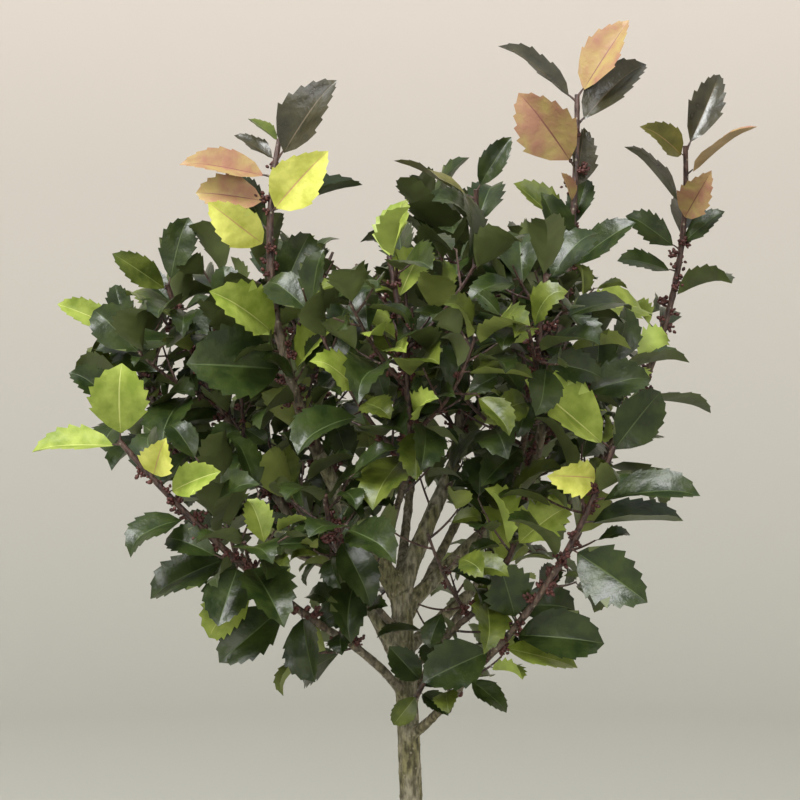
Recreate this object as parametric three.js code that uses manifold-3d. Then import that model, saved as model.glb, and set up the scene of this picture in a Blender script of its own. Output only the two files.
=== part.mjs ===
// A young holly in its nursery pot: one short clear trunk that forks into rising boughs, and an open crown
// of broad leaves on thin twigs, with three shoots that stand out of the top.
// Millimetres, +Z up. The origin is the middle of the pot's flat underside. The crown's best side faces -Y.
import * as THREE from "three";
import { mergeVertices } from "three/addons/utils/BufferGeometryUtils.js";
import Module from "manifold-3d";

const wasm = await Module();
wasm.setup();

// ---- Driving dimensions ---------------------------------------------------------------------------------

const GAP = 0.3; // clearance between pieces that meet
const POT = {
  height: 190,
  rimRadius: 107,
  rimDepth: 13,
  mouthRadius: 103,
  footRadius: 77,
  wall: 2.2,
  bottom: 3.5,
  sides: 30,
};
const DRAIN = { count: 6, radius: 6, height: 10.5, length: 14, sides: 8 }; // holes round the foot of the wall
const SOIL_BELOW_RIM = 18;
const SOIL_TOP = POT.height - SOIL_BELOW_RIM;

const TRUNK = {
  via: [-2, 3, 352],
  tip: [-9, 0, 466],
  footRadius: 7.6,
  tipRadius: 6.2,
  flare: 4.2, // how much wider it is at the soil
  flareHeight: 9,
  sides: 10,
};

// Boughs: each starts on the axis of the limb that bears it, bows through "via" and ends where its foliage
// starts. "radii" are those of its foot and its tip.
const BOUGHS = [
  { name: "left_leader", foot: [-9, 0, 459], via: [-34, -15, 499], tip: [-56, -40, 543], radii: [5.8, 3.8] },
  { name: "centre", foot: [-8, 0, 460], via: [9, 8, 499], tip: [25, 18, 535], radii: [5.8, 3.9] },
  { name: "right_leader", foot: [-7, 1, 447], via: [28, 13, 479], tip: [68, 2, 519], radii: [4.8, 3.4] },
  { name: "far_right", foot: [-5, 2, 423], via: [34, 38, 453], tip: [83, 56, 495], radii: [3.8, 2.8] },
  { name: "lower_right", foot: [-1, 2, 372], via: [13, -17, 387], tip: [31, -42, 413], radii: [2.9, 2.3] },
  { name: "left_shoulder", foot: [-5, 1, 412], via: [-33, 6, 457], tip: [-70, 14, 496], radii: [4.0, 2.9] },
  { name: "lower_left", foot: [-4, 1, 394], via: [-26, -22, 421], tip: [-51, -44, 441], radii: [2.8, 2.3] },
  { name: "front", foot: [-18, -5, 476], via: [-13, -26, 499], tip: [-5, -56, 527], radii: [2.7, 2.0] },
  { name: "front_right", foot: [53, 8, 507], via: [57, -18, 519], tip: [61, -46, 539], radii: [2.5, 2.0] },
  { name: "left_outer", foot: [-48, 9, 473], via: [-82, 26, 485], tip: [-118, 34, 517], radii: [2.4, 2.0] },
  { name: "back_left", foot: [-9, 1, 452], via: [-25, 40, 487], tip: [-44, 84, 542], radii: [3.4, 2.4] },
  { name: "back_centre", foot: [-9, 1, 460], via: [-4, 46, 497], tip: [2, 84, 549], radii: [3.2, 2.4] },
  { name: "back_right", foot: [-7, 1, 436], via: [27, 60, 495], tip: [54, 92, 546], radii: [3.2, 2.4] },
  { name: "back_low_left", foot: [-4, 1, 402], via: [-25, 54, 437], tip: [-50, 92, 478], radii: [2.9, 2.2] },
  { name: "back_low_right", foot: [-3, 1, 388], via: [23, 55, 429], tip: [52, 92, 472], radii: [2.9, 2.2] },
  { name: "inner_left", foot: [-6, 1, 432], via: [-20, -14, 448], tip: [-31, -32, 466], radii: [2.3, 1.9] },
  { name: "inner_right", foot: [-4, 1, 410], via: [13, -15, 426], tip: [27, -34, 443], radii: [2.3, 1.9] },
  { name: "sprig", foot: [-1, 2, 391], via: [0, -8, 394], tip: [1, -14, 397], radii: [1.8, 1.6] },
];

// Foliage masses: the stem of each grows on from the bough of that name, through "via" to its tip. "twigs"
// is its longest side twig, "bare" the share of the stem below its first leaf, and "open" the length below
// the tip that bears no side twigs. "shown" are the leaves that make its outline: how far below the tip each
// one leaves the stem, its tilt to the right of upright seen from the front, its lean to the front, its
// length, how far its face turns to the front and, where it is broader than its neighbours, by how much.
const MASSES = [
  {
    name: "left_leader", via: [-81, -66, 640], tip: [-76, -60, 721], twigs: 74, bare: 0.1, open: 108,
    shown: [
      [12, 36, 10, 56, 0.62, 1.15], [44, 42, 22, 50, 0.85, 1.35], [63, -55, 30, 44, 0.9, 1.3],
      [22, -80, 10, 52, 0.5, 1.05], [1, -49, -20, 25, 0.3], [12, -57, -15, 30, 0.3],
      [36, -84, 5, 42, 0.8, 1.2], [54, -31, -25, 42, 0.4], [98, 20, -14, 50, 0.8, 1.1],
      [42, 68, -20, 58, 0.4], [115, -50, 40, 55, 0.7, 1.2], [134, -86, 25, 60, 0.9, 1.3],
      [138, 35, 25, 42, 0.6],
    ],
  },
  {
    name: "right_leader", via: [88, -26, 628], tip: [96, -26, 752], twigs: 74, bare: 0.12, open: 116,
    shown: [
      [1, 35, 5, 53, 0.5, 1.05], [4, -49, -5, 57, 0.3, 0.9], [18, 42, -10, 58, 0.45],
      [43, -36, 15, 54, 0.9, 1.35], [58, 10, -15, 42, 0.2], [64, -24, 45, 24, 0.7], [80, 18, -20, 36, 0.4],
      [82, -47, 0, 44, 0.6, 1.1], [100, -22, 25, 46, 0.7, 1.1], [106, -76, 10, 48, 0.5],
      [102, 52, 25, 48, 0.6, 1.1],
    ],
  },
  {
    name: "far_right", via: [147, 48, 590], tip: [168, 28, 728], twigs: 70, bare: 0.1, open: 90,
    shown: [
      [1, 26, -12, 56, 0.6, 0.95], [6, -57, 35, 40, 0.7, 1.1], [17, 50, 24, 52, 0.35, 0.9],
      [36, -40, 5, 51, 0.35, 0.9], [46, 24, 45, 42, 0.9, 1.15], [54, 16, -45, 42, 0.5, 1.1],
      [60, 50, 20, 34, 0.5], [62, -57, 10, 38, 0.6], [76, -76, 15, 38, 0.4, 0.9],
    ],
  },
  {
    name: "lower_right", via: [79, -87, 479], tip: [109, -100, 548], twigs: 36, bare: 0.4, open: 26,
    shown: [
      [2, -53, 18, 62, 0.8], [6, 38, -14, 48, 0.7], [19, -84, 30, 34, 0.85, 1.2], [32, 80, 15, 58, 0.45, 0.8],
      [62, 123, 30, 54, 0.9], [119, -17, 30, 40, 0.8], [129, 91, 15, 54, 0.8], [139, 104, 5, 46, 0.3],
      [142, -110, 20, 46, 0.8], [170, 130, 20, 30, 0.35, 0.85],
    ],
  },
  {
    name: "lower_left", via: [-112, -83, 495], tip: [-163, -96, 551], twigs: 44, bare: 0.3, open: 34,
    shown: [
      [1, 2, 30, 46, 0.9], [3, -91, 0, 50, 0.3, 0.85], [28, 20, 40, 30, 0.8], [39, 66, 25, 36, 0.6],
      [91, -113, 10, 50, 0.5], [97, -165, 40, 42, 0.9], [112, -137, 0, 44, 0.6], [137, -131, 15, 51, 0.9],
      [147, 168, 35, 44, 0.9],
    ],
  },
  {
    name: "left_shoulder", via: [-120, 6, 576], tip: [-146, -12, 642], twigs: 72, bare: 0.05, open: 24,
    shown: [[1, 13, 0, 42, 0.6], [5, -55, 30, 42, 0.8], [14, -46, -20, 42, 0.5], [36, -92, 15, 54, 0.5]],
  },
  {
    name: "left_outer", via: [-152, 28, 560], tip: [-176, 16, 617], twigs: 60, bare: 0.05, open: 20,
    shown: [[1, -69, 15, 42, 0.8], [10, -15, -15, 40, 0.5]],
  },
  {
    name: "centre", via: [34, 19, 612], tip: [38, 6, 700], twigs: 84, bare: 0.05, open: 22,
    shown: [[1, 30, 5, 38, 0.5], [6, -62, 5, 54, 0.5, 0.9]],
  },
  { name: "front", via: [-4, -92, 579], tip: [-14, -100, 652], twigs: 84, bare: 0.05, open: 16 },
  { name: "front_right", via: [66, -92, 583], tip: [72, -104, 642], twigs: 76, bare: 0.05, open: 16 },
  { name: "inner_left", via: [-44, -58, 490], tip: [-50, -82, 520], twigs: 44, bare: 0.02, open: 14 },
  { name: "inner_right", via: [44, -58, 464], tip: [56, -76, 492], twigs: 44, bare: 0.02, open: 14 },
  { name: "back_left", via: [-64, 102, 598], tip: [-68, 94, 656], twigs: 84, bare: 0.05, open: 16 },
  { name: "back_centre", via: [8, 112, 620], tip: [12, 98, 698], twigs: 84, bare: 0.05, open: 16 },
  { name: "back_right", via: [80, 110, 600], tip: [86, 100, 658], twigs: 84, bare: 0.05, open: 16 },
  { name: "back_low_left", via: [-74, 113, 519], tip: [-88, 118, 582], twigs: 76, bare: 0.02, open: 16 },
  { name: "back_low_right", via: [78, 113, 515], tip: [95, 116, 578], twigs: 76, bare: 0.02, open: 16 },
  {
    name: "sprig", via: [3, -22, 401], tip: [6, -28, 408], twigs: 0, bare: 0.3, open: 20,
    shown: [[1, -42, 25, 32, 0.9], [6, 60, 10, 26, 0.6], [9, 118, 40, 25, 0.5], [12, -142, 10, 23, 0.4]],
  },
];

// How far the side twigs reach from the crown's own axis: a rounded, inverted cone, "neck" wide at its foot
// and domed above its brow.
const CROWN = { axis: [-20, 0], low: 372, depth: 300, neck: 48, spread: 110, brow: 590, dome: 92 };

// Where it bears no leaves: on the old wood round the fork, before the left leader, which stands free, and in
// the dip of its top to the right of that leader.
const HOLLOWS = [
  { middle: [6, 0, 484], radii: [38, 130, 48] },
  { middle: [-69, -118, 590], radii: [19, 46, 76] },
  { middle: [-35, -10, 690], radii: [27, 220, 62] },
];

const RING_STEP = { trunk: 24, bough: 18, stem: 30 }; // about how far apart the rings of a limb stand
const BOUGH_SIDES = 6;
const STEM = { tipRadius: 1.5, sides: 5, firstTwig: 8 };
const TWIG = {
  footRadius: 1.3,
  tipRadius: 0.8,
  sides: 3,
  spacing: 18, // from one to the next along the stem
  step: 21,
  lean: 48, // degrees away from the stem
  rise: 0.2, // how much it turns up at each step
  wander: 0.2,
  shrink: 0.62, // how much shorter the last one is than the first
};
const LEAF = {
  length: 47,
  width: 0.6, // of its length
  youngWidth: 0.46, // the same, for the new leaves of the outline above youngFrom
  youngFrom: 600,
  thickness: 1.8,
  ridge: 0.18, // where along it a leaf is thickest
  outline: [[0, 0], [0.36, -0.98], [0.74, -0.74], [1, 0], [0.74, 0.74], [0.36, 0.98]],
  internode: 21.5,
  first: 9, // bare foot of a twig
  rise: [22, 58], // degrees from square to the twig, at its foot and at its tip
  droop: 0.15,
  lowDroop: 0.42, // how much more the old low shoots hang their leaves
  lowFrom: 560,
  lowDepth: 180,
};
const CLEAR = 0.5; // how clear of its neighbours a leaf or twig grows
const SPIRAL = THREE.MathUtils.degToRad(137.5); // turn from one leaf or twig to the next up a stem
const SEED = 7105;

const COLOURS = {
  pot: { color: 0x24262a, roughness: 0.6 },
  soil: { color: 0x3a2a1f, roughness: 1.0 },
  bark: { color: 0x6b6048, roughness: 0.85 },
  foliage: { color: 0x2f4a2b, roughness: 0.35 },
};

// ---- Seeded numbers and lines ---------------------------------------------------------------------------

// A small generator of numbers from 0 to 1 that gives the same row for the same seed.
function seeded(seed) {
  let state = seed >>> 0;
  return () => {
    state = (state + 0x6d2b79f5) >>> 0;
    let mixed = Math.imul(state ^ (state >>> 15), state | 1);
    mixed ^= mixed + Math.imul(mixed ^ (mixed >>> 7), mixed | 61);
    return ((mixed ^ (mixed >>> 14)) >>> 0) / 4294967296;
  };
}

const place = (p) => new THREE.Vector3(...p);
const UP = new THREE.Vector3(0, 0, 1);
const FRONT = new THREE.Vector3(0, -1, 0);

// The part of v that is square to the unit vector n, made one long.
const squareTo = (v, n) => v.clone().addScaledVector(n, -v.dot(n)).normalize();

// A bowed line from foot to tip that passes through via halfway, with a point about every step.
function bowed(foot, via, tip, step) {
  const steps = Math.max(2, Math.round(foot.distanceTo(tip) / step));
  const control = via.clone().multiplyScalar(2).addScaledVector(foot, -0.5).addScaledVector(tip, -0.5);
  return new THREE.QuadraticBezierCurve3(foot, control, tip).getPoints(steps);
}

const lineLength = (line) => line.slice(1).reduce((sum, p, i) => sum + p.distanceTo(line[i]), 0);

// The place and direction at a distance along a line of points.
function along(line, distance) {
  let left = distance;
  for (let i = 1; i < line.length; i++) {
    const span = line[i].distanceTo(line[i - 1]);
    if (left <= span || i === line.length - 1) {
      const direction = line[i].clone().sub(line[i - 1]).divideScalar(span);
      return { at: line[i - 1].clone().addScaledVector(direction, left), direction };
    }
    left -= span;
  }
}

const lineEnd = (line) => line.at(-1).clone().sub(line.at(-2)).normalize();

// ---- Solids ---------------------------------------------------------------------------------------------

// A closed geometry from a list of corners and faces.
function closedGeometry(corners, faces) {
  const geometry = new THREE.BufferGeometry();
  const numbers = corners.flatMap((corner) => corner.toArray());
  geometry.setAttribute("position", new THREE.Float32BufferAttribute(numbers, 3));
  return geometry.setIndex(faces.flat());
}

// A tapering limb round a line, with flat ends. "first" sets the way its first ring faces.
function limb(line, radiusAt, sides, first) {
  const corners = [];
  const faces = [];
  let side = null;
  line.forEach((p, i) => {
    const way = line[Math.min(i + 1, line.length - 1)].clone().sub(line[Math.max(i - 1, 0)]).normalize();
    if (i === 0 && first) way.copy(first);
    side = squareTo(side ?? (Math.abs(way.x) < 0.8 ? new THREE.Vector3(1, 0, 0) : UP), way);
    const other = way.clone().cross(side);
    for (let k = 0; k < sides; k++) {
      const turn = (2 * Math.PI * k) / sides;
      const r = radiusAt(i / (line.length - 1), p);
      const rim = side.clone().multiplyScalar(r * Math.cos(turn)).addScaledVector(other, r * Math.sin(turn));
      corners.push(rim.add(p));
    }
  });
  const last = (line.length - 1) * sides;
  for (let k = 0; k < sides; k++) {
    const next = (k + 1) % sides;
    for (let row = 0; row < last; row += sides)
      faces.push([row + k, row + next, row + sides + next], [row + k, row + sides + next, row + sides + k]);
    if (k > 1) faces.push([0, k, k - 1], [last, last + k - 1, last + k]);
  }
  return closedGeometry(corners, faces);
}

// The corners of a leaf: its foot, its outline, then the ridge of its upper skin near the foot.
// "extra" makes it fatter and wider all round, to test what it would touch.
function leafCorners(leaf, extra = 0) {
  const side = leaf.face.clone().cross(leaf.along);
  const half = (leaf.length * leaf.width) / 2 + extra;
  const spot = (far, out, lift) =>
    leaf.foot
      .clone()
      .addScaledVector(leaf.along, far * leaf.length + (far === 1 ? extra : 0))
      .addScaledVector(side, out * half)
      .addScaledVector(leaf.face, lift);
  const outline = LEAF.outline.map(([far, out]) => spot(far, out, -extra));
  return [...outline, spot(LEAF.ridge, 0, LEAF.thickness + extra)];
}

// The upper skin fans out from the ridge. The lower skin runs in strips across the leaf.
const LEAF_FACES = LEAF.outline
  .map((_, i, { length }) => [i, (i + 1) % length, length])
  .concat([[0, 5, 1], [1, 5, 4], [1, 4, 2], [2, 4, 3]]);

function solidOf(geometry) {
  const bare = geometry.clone();
  bare.deleteAttribute("normal");
  bare.deleteAttribute("uv");
  const merged = mergeVertices(bare, 1e-4);
  const made = new wasm.Manifold(
    new wasm.Mesh({
      numProp: 3,
      vertProperties: merged.attributes.position.array,
      triVerts: new Uint32Array(merged.index.array),
    }),
  );
  if (made.volume() < 0) throw new Error("a solid has its faces pointing in");
  return made;
}

// The geometry of a solid's largest body, without the loose scraps or sealed hollows that a cut leaves.
function geometryOf(solid) {
  const bodies = solid.decompose().sort((a, b) => b.volume() - a.volume());
  const mesh = bodies[0].getMesh();
  const geometry = new THREE.BufferGeometry();
  geometry.setAttribute("position", new THREE.BufferAttribute(new Float32Array(mesh.vertProperties), 3));
  geometry.setIndex(new THREE.BufferAttribute(new Uint32Array(mesh.triVerts), 1));
  geometry.computeVertexNormals();
  return geometry;
}

// ---- What is in the way ---------------------------------------------------------------------------------

// A grid of the triangles that stand so far, each with the name of what it belongs to.
const CELL = 24;
const cells = new Map();

function cellsOf(triangles) {
  const box = new THREE.Box3().setFromPoints(triangles.flat());
  const low = box.min.divideScalar(CELL).floor();
  const high = box.max.divideScalar(CELL).floor();
  const keys = [];
  for (let x = low.x; x <= high.x; x++)
    for (let y = low.y; y <= high.y; y++)
      for (let z = low.z; z <= high.z; z++) keys.push(`${x},${y},${z}`);
  return keys;
}

function trianglesOf(corners, faces) {
  return faces.map((face) => face.map((i) => corners[i]));
}

function geometryTriangles(geometry) {
  const position = geometry.attributes.position;
  const corners = Array.from({ length: position.count }, (_, i) =>
    new THREE.Vector3().fromBufferAttribute(position, i),
  );
  const faces = [];
  for (let i = 0; i < geometry.index.count; i += 3)
    faces.push([0, 1, 2].map((k) => geometry.index.getX(i + k)));
  return trianglesOf(corners, faces);
}

function stand(triangles, owner) {
  for (const triangle of triangles)
    for (const key of cellsOf([triangle])) {
      if (!cells.has(key)) cells.set(key, []);
      cells.get(key).push({ triangle, owner });
    }
}

// True where the line from p to q passes through the triangle.
function pierces(p, q, [a, b, c]) {
  const way = q.clone().sub(p);
  const ab = b.clone().sub(a);
  const ac = c.clone().sub(a);
  const cross = way.clone().cross(ac);
  const size = ab.dot(cross);
  if (Math.abs(size) < 1e-9) return false;
  const from = p.clone().sub(a);
  const u = from.dot(cross) / size;
  if (u < 0 || u > 1) return false;
  const turned = from.clone().cross(ab);
  const v = way.dot(turned) / size;
  if (v < 0 || u + v > 1) return false;
  const t = ac.dot(turned) / size;
  return t >= 0 && t <= 1;
}

function triangleCross(s, t) {
  for (let k = 0; k < 3; k++) {
    const next = (k + 1) % 3;
    if (pierces(s[k], s[next], t) || pierces(t[k], t[next], s)) return true;
  }
  return false;
}

// True if any of these triangles crosses one that stands, apart from those of the owners named.
function blocked(triangles, spared) {
  const met = new Set();
  for (const key of cellsOf(triangles)) for (const other of cells.get(key) ?? []) met.add(other);
  const boxes = triangles.map((t) => new THREE.Box3().setFromPoints(t));
  for (const { triangle, owner } of met) {
    if (spared.includes(owner)) continue;
    const box = new THREE.Box3().setFromPoints(triangle);
    for (let i = 0; i < triangles.length; i++)
      if (boxes[i].intersectsBox(box) && triangleCross(triangles[i], triangle)) return true;
  }
  return false;
}

// ---- The rule of growth ---------------------------------------------------------------------------------

// How far from the crown's axis the side twigs reach at a height.
function crownReach(z) {
  const share = THREE.MathUtils.clamp((z - CROWN.low) / CROWN.depth, 0, 1);
  const over = THREE.MathUtils.clamp((z - CROWN.brow) / CROWN.dome, 0, 1);
  const reach = CROWN.neck + CROWN.spread * Math.sin(Math.PI * (share * 0.62 + 0.03));
  return reach * Math.sqrt(1 - over * over);
}

// The stem of a mass, which grows on from its bough.
function growStem(mass) {
  const bough = boughLines.get(mass.name);
  const foot = bough.at(-1).clone().addScaledVector(lineEnd(bough), GAP);
  const line = bowed(foot, place(mass.via), place(mass.tip), RING_STEP.stem);
  const footRadius = boughTipRadius.get(mass.name);
  const radiusAt = (share) => THREE.MathUtils.lerp(footRadius, STEM.tipRadius, share ** 0.8);
  const stem = { owner: `${mass.name}_stem`, line, radiusAt, sides: STEM.sides, first: lineEnd(bough) };
  stand(geometryTriangles(limb(line, radiusAt, STEM.sides, stem.first)), stem.owner);
  return stem;
}

// The leaves that make a mass's outline, in their own places on its stem.
function growShown(mass, stem, random) {
  const leaves = [];
  const length = lineLength(stem.line);
  for (const [below, tilt, lean, size, facing, breadth = 1] of mass.shown ?? []) {
    const { at, direction } = along(stem.line, length - below);
    const [t, l] = [tilt, lean].map(THREE.MathUtils.degToRad);
    const way = new THREE.Vector3(Math.sin(t) * Math.cos(l), -Math.sin(l), Math.cos(t) * Math.cos(l));
    const light = lightOn(at, direction).multiplyScalar(1 - facing).addScaledVector(FRONT, facing);
    const usual = at.z > LEAF.youngFrom ? LEAF.youngWidth : LEAF.width;
    const width = usual * breadth * (0.94 + 0.12 * random());
    const leaf = { foot: at, along: way, face: squareTo(light, way), length: size, width };
    if (blocked(trianglesOf(leafCorners(leaf, CLEAR), LEAF_FACES), [stem.owner])) continue;
    stand(trianglesOf(leafCorners(leaf), LEAF_FACES), `${stem.owner}_leaf`);
    leaves.push(leaf);
  }
  return leaves;
}

// A side twig that leaves a stem at a place and curves up, cut short where it would leave the crown or touch.
function growTwig(start, direction, length, random, spared) {
  const line = [start.clone()];
  const way = direction.clone();
  for (let far = 0; far < length; far += TWIG.step) {
    way.z += TWIG.rise;
    way.x += TWIG.wander * (random() - 0.5);
    way.y += TWIG.wander * (random() - 0.5);
    way.normalize();
    const next = line.at(-1).clone().addScaledVector(way, TWIG.step);
    if (Math.hypot(next.x - CROWN.axis[0], next.y - CROWN.axis[1]) > crownReach(next.z)) break;
    const piece = limb([line.at(-1), next], () => TWIG.footRadius + CLEAR, TWIG.sides);
    if (blocked(geometryTriangles(piece), spared)) break;
    line.push(next);
  }
  return line.length > 1 ? line : null;
}

// The side twigs of a stem, which leave it in a spiral and get shorter towards its tip.
function growTwigs(mass, stem, random) {
  const grown = [];
  const length = lineLength(stem.line);
  let turn = 2 * Math.PI * random();
  let far = length * mass.bare + STEM.firstTwig;
  while (mass.twigs && far < length - mass.open) {
    turn += SPIRAL;
    const { at, direction } = along(stem.line, far);
    const out = squareTo(new THREE.Vector3(Math.cos(turn), Math.sin(turn), 0.01), direction);
    const lean = THREE.MathUtils.degToRad(TWIG.lean * (0.83 + 0.34 * random()));
    const way = out.multiplyScalar(Math.sin(lean)).addScaledVector(direction, Math.cos(lean));
    const reach = mass.twigs * (1 - TWIG.shrink * (far / length)) * (0.8 + 0.4 * random());
    const line = growTwig(at, way, reach, random, [stem.owner, `bough_${mass.name}`]);
    if (line) {
      const owner = `${mass.name}_twig_${grown.length}`;
      const radiusAt = (share) => THREE.MathUtils.lerp(TWIG.footRadius, TWIG.tipRadius, share);
      grown.push({ owner, line, radiusAt, sides: TWIG.sides });
      stand(geometryTriangles(limb(line, radiusAt, TWIG.sides)), owner);
    }
    far += TWIG.spacing * (0.75 + 0.5 * random());
  }
  return grown;
}

// The way the light comes to a leaf: along its twig, from above and from outside the crown.
function lightOn(at, direction) {
  const outward = new THREE.Vector3(at.x, at.y, 0).normalize();
  return direction.clone().multiplyScalar(0.7).addScaledVector(UP, 0.6).addScaledVector(outward, 0.35);
}

// One leaf on a twig: it leaves by the spiral, leans to the tip, droops with age and faces the light.
function leafAt(twig, far, turn, rise, droop, length, random) {
  const { at, direction } = along(twig.line, far);
  const reference = squareTo(Math.abs(direction.z) < 0.9 ? UP : new THREE.Vector3(0, 1, 0), direction);
  const other = direction.clone().cross(reference);
  const out = reference.multiplyScalar(Math.cos(turn)).addScaledVector(other, Math.sin(turn));
  const way = out.multiplyScalar(Math.cos(rise)).addScaledVector(direction, Math.sin(rise));
  way.z -= droop;
  way.normalize();
  return {
    foot: at,
    along: way,
    face: squareTo(lightOn(at, direction), way),
    length: length * (0.84 + 0.32 * random()),
    width: LEAF.width * (0.92 + 0.16 * random()),
  };
}

// Whether the broad part of a leaf lies in one of the crown's hollows.
function inHollow(leaf) {
  const spot = leaf.foot.clone().addScaledVector(leaf.along, leaf.length * 0.6).toArray();
  const depthIn = (hollow) => Math.hypot(...spot.map((v, i) => (v - hollow.middle[i]) / hollow.radii[i]));
  return HOLLOWS.some((hollow) => depthIn(hollow) < 1);
}

// Tries a leaf where the spiral puts it, then turned or shorter, and skips it if it still touches something.
function placeLeaf(twig, far, turn, rise, droop, length, random, leaves) {
  for (const [swing, size] of [[0, 1], [0.5, 0.95], [-0.5, 0.9], [0.9, 0.8], [-0.9, 0.8]]) {
    const leaf = leafAt(twig, far, turn + swing, rise, droop, length * size, random);
    const outline = trianglesOf(leafCorners(leaf, CLEAR), LEAF_FACES);
    if (inHollow(leaf) || blocked(outline, [twig.owner])) continue;
    stand(trianglesOf(leafCorners(leaf), LEAF_FACES), `${twig.owner}_leaf`);
    leaves.push(leaf);
    return;
  }
}

// The leaves of one twig: a spiral from its first leaf up, and two at its tip.
function growLeaves(mass, twig, isStem, random) {
  const leaves = [];
  const length = lineLength(twig.line);
  const low = THREE.MathUtils.clamp((LEAF.lowFrom - twig.line[0].z) / LEAF.lowDepth, 0, 1);
  let turn = 2 * Math.PI * random();
  const first = isStem ? length * Math.max(mass.bare, 0.06) : LEAF.first;
  const last = isStem && mass.shown ? length - mass.open : length - 2;
  for (let far = last; far > first; far -= LEAF.internode * (0.8 + 0.4 * random())) {
    const tipward = far / length;
    const rise = THREE.MathUtils.degToRad(THREE.MathUtils.lerp(...LEAF.rise, tipward ** 2));
    const droop = (LEAF.droop + LEAF.lowDroop * low) * (1 - tipward * 0.7);
    const size = LEAF.length * (tipward > 0.93 ? 0.86 : 1);
    placeLeaf(twig, far, turn, rise, droop, size, random, leaves);
    if (tipward > 0.93) placeLeaf(twig, far - 1.5, turn + 2.1, rise, droop, size, random, leaves);
    turn += SPIRAL;
  }
  return leaves;
}

// ---- The pieces -----------------------------------------------------------------------------------------

const plant = new THREE.Group();

function addNode(name, geometry, finish) {
  const material = new THREE.MeshStandardMaterial({ ...finish, metalness: 0 });
  const mesh = new THREE.Mesh(geometry, material);
  mesh.name = name;
  plant.add(mesh);
}

// The pot: a moulded, tapering container with a rolled rim, a flat underside and drain holes round its foot.
function potSolid() {
  const { height, rimRadius, rimDepth, mouthRadius, footRadius, wall, bottom, sides } = POT;
  const shoulder = height - rimDepth;
  const profile = [
    [0, 0], [footRadius - 3, 0], [footRadius, 3], [mouthRadius - 2, shoulder - 2], [rimRadius - 1, shoulder],
    [rimRadius, height - 1.5], [rimRadius - 1.5, height], [mouthRadius - wall, height],
    [footRadius - wall, bottom], [0, bottom],
  ].map(([r, z]) => new THREE.Vector2(r, z));
  const shell = solidOf(new THREE.LatheGeometry(profile, sides).rotateX(Math.PI / 2));
  const cutters = Array.from({ length: DRAIN.count }, (_, k) => {
    const bore = new THREE.CylinderGeometry(DRAIN.radius, DRAIN.radius, DRAIN.length, DRAIN.sides);
    bore.translate(0, footRadius, 0).rotateZ((2 * Math.PI * (k + 0.5)) / DRAIN.count);
    return solidOf(bore.translate(0, 0, DRAIN.height));
  });
  return shell.subtract(wasm.Manifold.union(cutters));
}

// The potting soil: one solid plug, level on top, clear of the pot all round.
function soilGeometry() {
  const lean = (POT.mouthRadius - POT.footRadius) / (POT.height - POT.bottom);
  const bottom = POT.bottom + GAP;
  const radiusAt = (z) => POT.footRadius - POT.wall - GAP * 1.2 + lean * (z - POT.bottom);
  const profile = [[0, bottom], [radiusAt(bottom), bottom], [radiusAt(SOIL_TOP), SOIL_TOP], [0, SOIL_TOP]];
  const points = profile.map(([r, z]) => new THREE.Vector2(r, z));
  return new THREE.LatheGeometry(points, POT.sides).rotateX(Math.PI / 2);
}

// Trunk and boughs. Each bough is cut clear of the limbs that stand before it.
const boughLines = new Map();
const boughTipRadius = new Map();

function addLimbs() {
  const foot = new THREE.Vector3(0, 0, SOIL_TOP + GAP);
  const trunkLine = bowed(foot, place(TRUNK.via), place(TRUNK.tip), RING_STEP.trunk);
  const trunkRadius = (extra) => (share, p) =>
    THREE.MathUtils.lerp(TRUNK.footRadius, TRUNK.tipRadius, share) +
    TRUNK.flare * Math.exp((foot.z - p.z) / TRUNK.flareHeight) +
    extra;
  const trunk = limb(trunkLine, trunkRadius(0), TRUNK.sides, UP);
  addNode("trunk", geometryOf(solidOf(trunk)), COLOURS.bark);
  stand(geometryTriangles(trunk), "trunk");
  const standing = [solidOf(limb(trunkLine, trunkRadius(GAP), TRUNK.sides, UP))];
  for (const bough of BOUGHS) {
    const line = bowed(...[bough.foot, bough.via, bough.tip].map(place), RING_STEP.bough);
    const radiusAt = (extra) => (share) => THREE.MathUtils.lerp(...bough.radii, share) + extra;
    const geometry = limb(line, radiusAt(0), BOUGH_SIDES);
    const solid = solidOf(geometry).subtract(wasm.Manifold.union(standing));
    addNode(`bough_${bough.name}`, geometryOf(solid), COLOURS.bark);
    stand(geometryTriangles(geometry), `bough_${bough.name}`);
    standing.push(solidOf(limb(line, radiusAt(GAP), BOUGH_SIDES)));
    boughLines.set(bough.name, line);
    boughTipRadius.set(bough.name, bough.radii[1]);
  }
}

// Foliage: every stem stands first, then the leaves of the outline, then every side twig and last the other
// leaves, so that none of these stands where one that matters more goes.
function addFoliage() {
  const randoms = MASSES.map((_, index) => seeded(SEED + 100 * index));
  const stems = MASSES.map(growStem);
  const shown = MASSES.map((mass, index) => growShown(mass, stems[index], randoms[index]));
  const twigs = MASSES.map((mass, index) => growTwigs(mass, stems[index], randoms[index]));
  MASSES.forEach((mass, index) => {
    const wood = [stems[index], ...twigs[index]];
    const leaves = wood.flatMap((twig, k) => growLeaves(mass, twig, k === 0, randoms[index]));
    const solids = wood.map((twig) => solidOf(limb(twig.line, twig.radiusAt, twig.sides, twig.first)));
    for (const leaf of [...shown[index], ...leaves])
      solids.push(solidOf(closedGeometry(leafCorners(leaf), LEAF_FACES)));
    addNode(`foliage_${mass.name}`, geometryOf(wasm.Manifold.union(solids)), COLOURS.foliage);
  });
}

addNode("pot", geometryOf(potSolid()), COLOURS.pot);
addNode("soil", soilGeometry(), COLOURS.soil);
addLimbs();
addFoliage();

export default plant;
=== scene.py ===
import math

import bmesh
import bpy
import numpy as np
from mathutils import Matrix, Vector, noise


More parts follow.
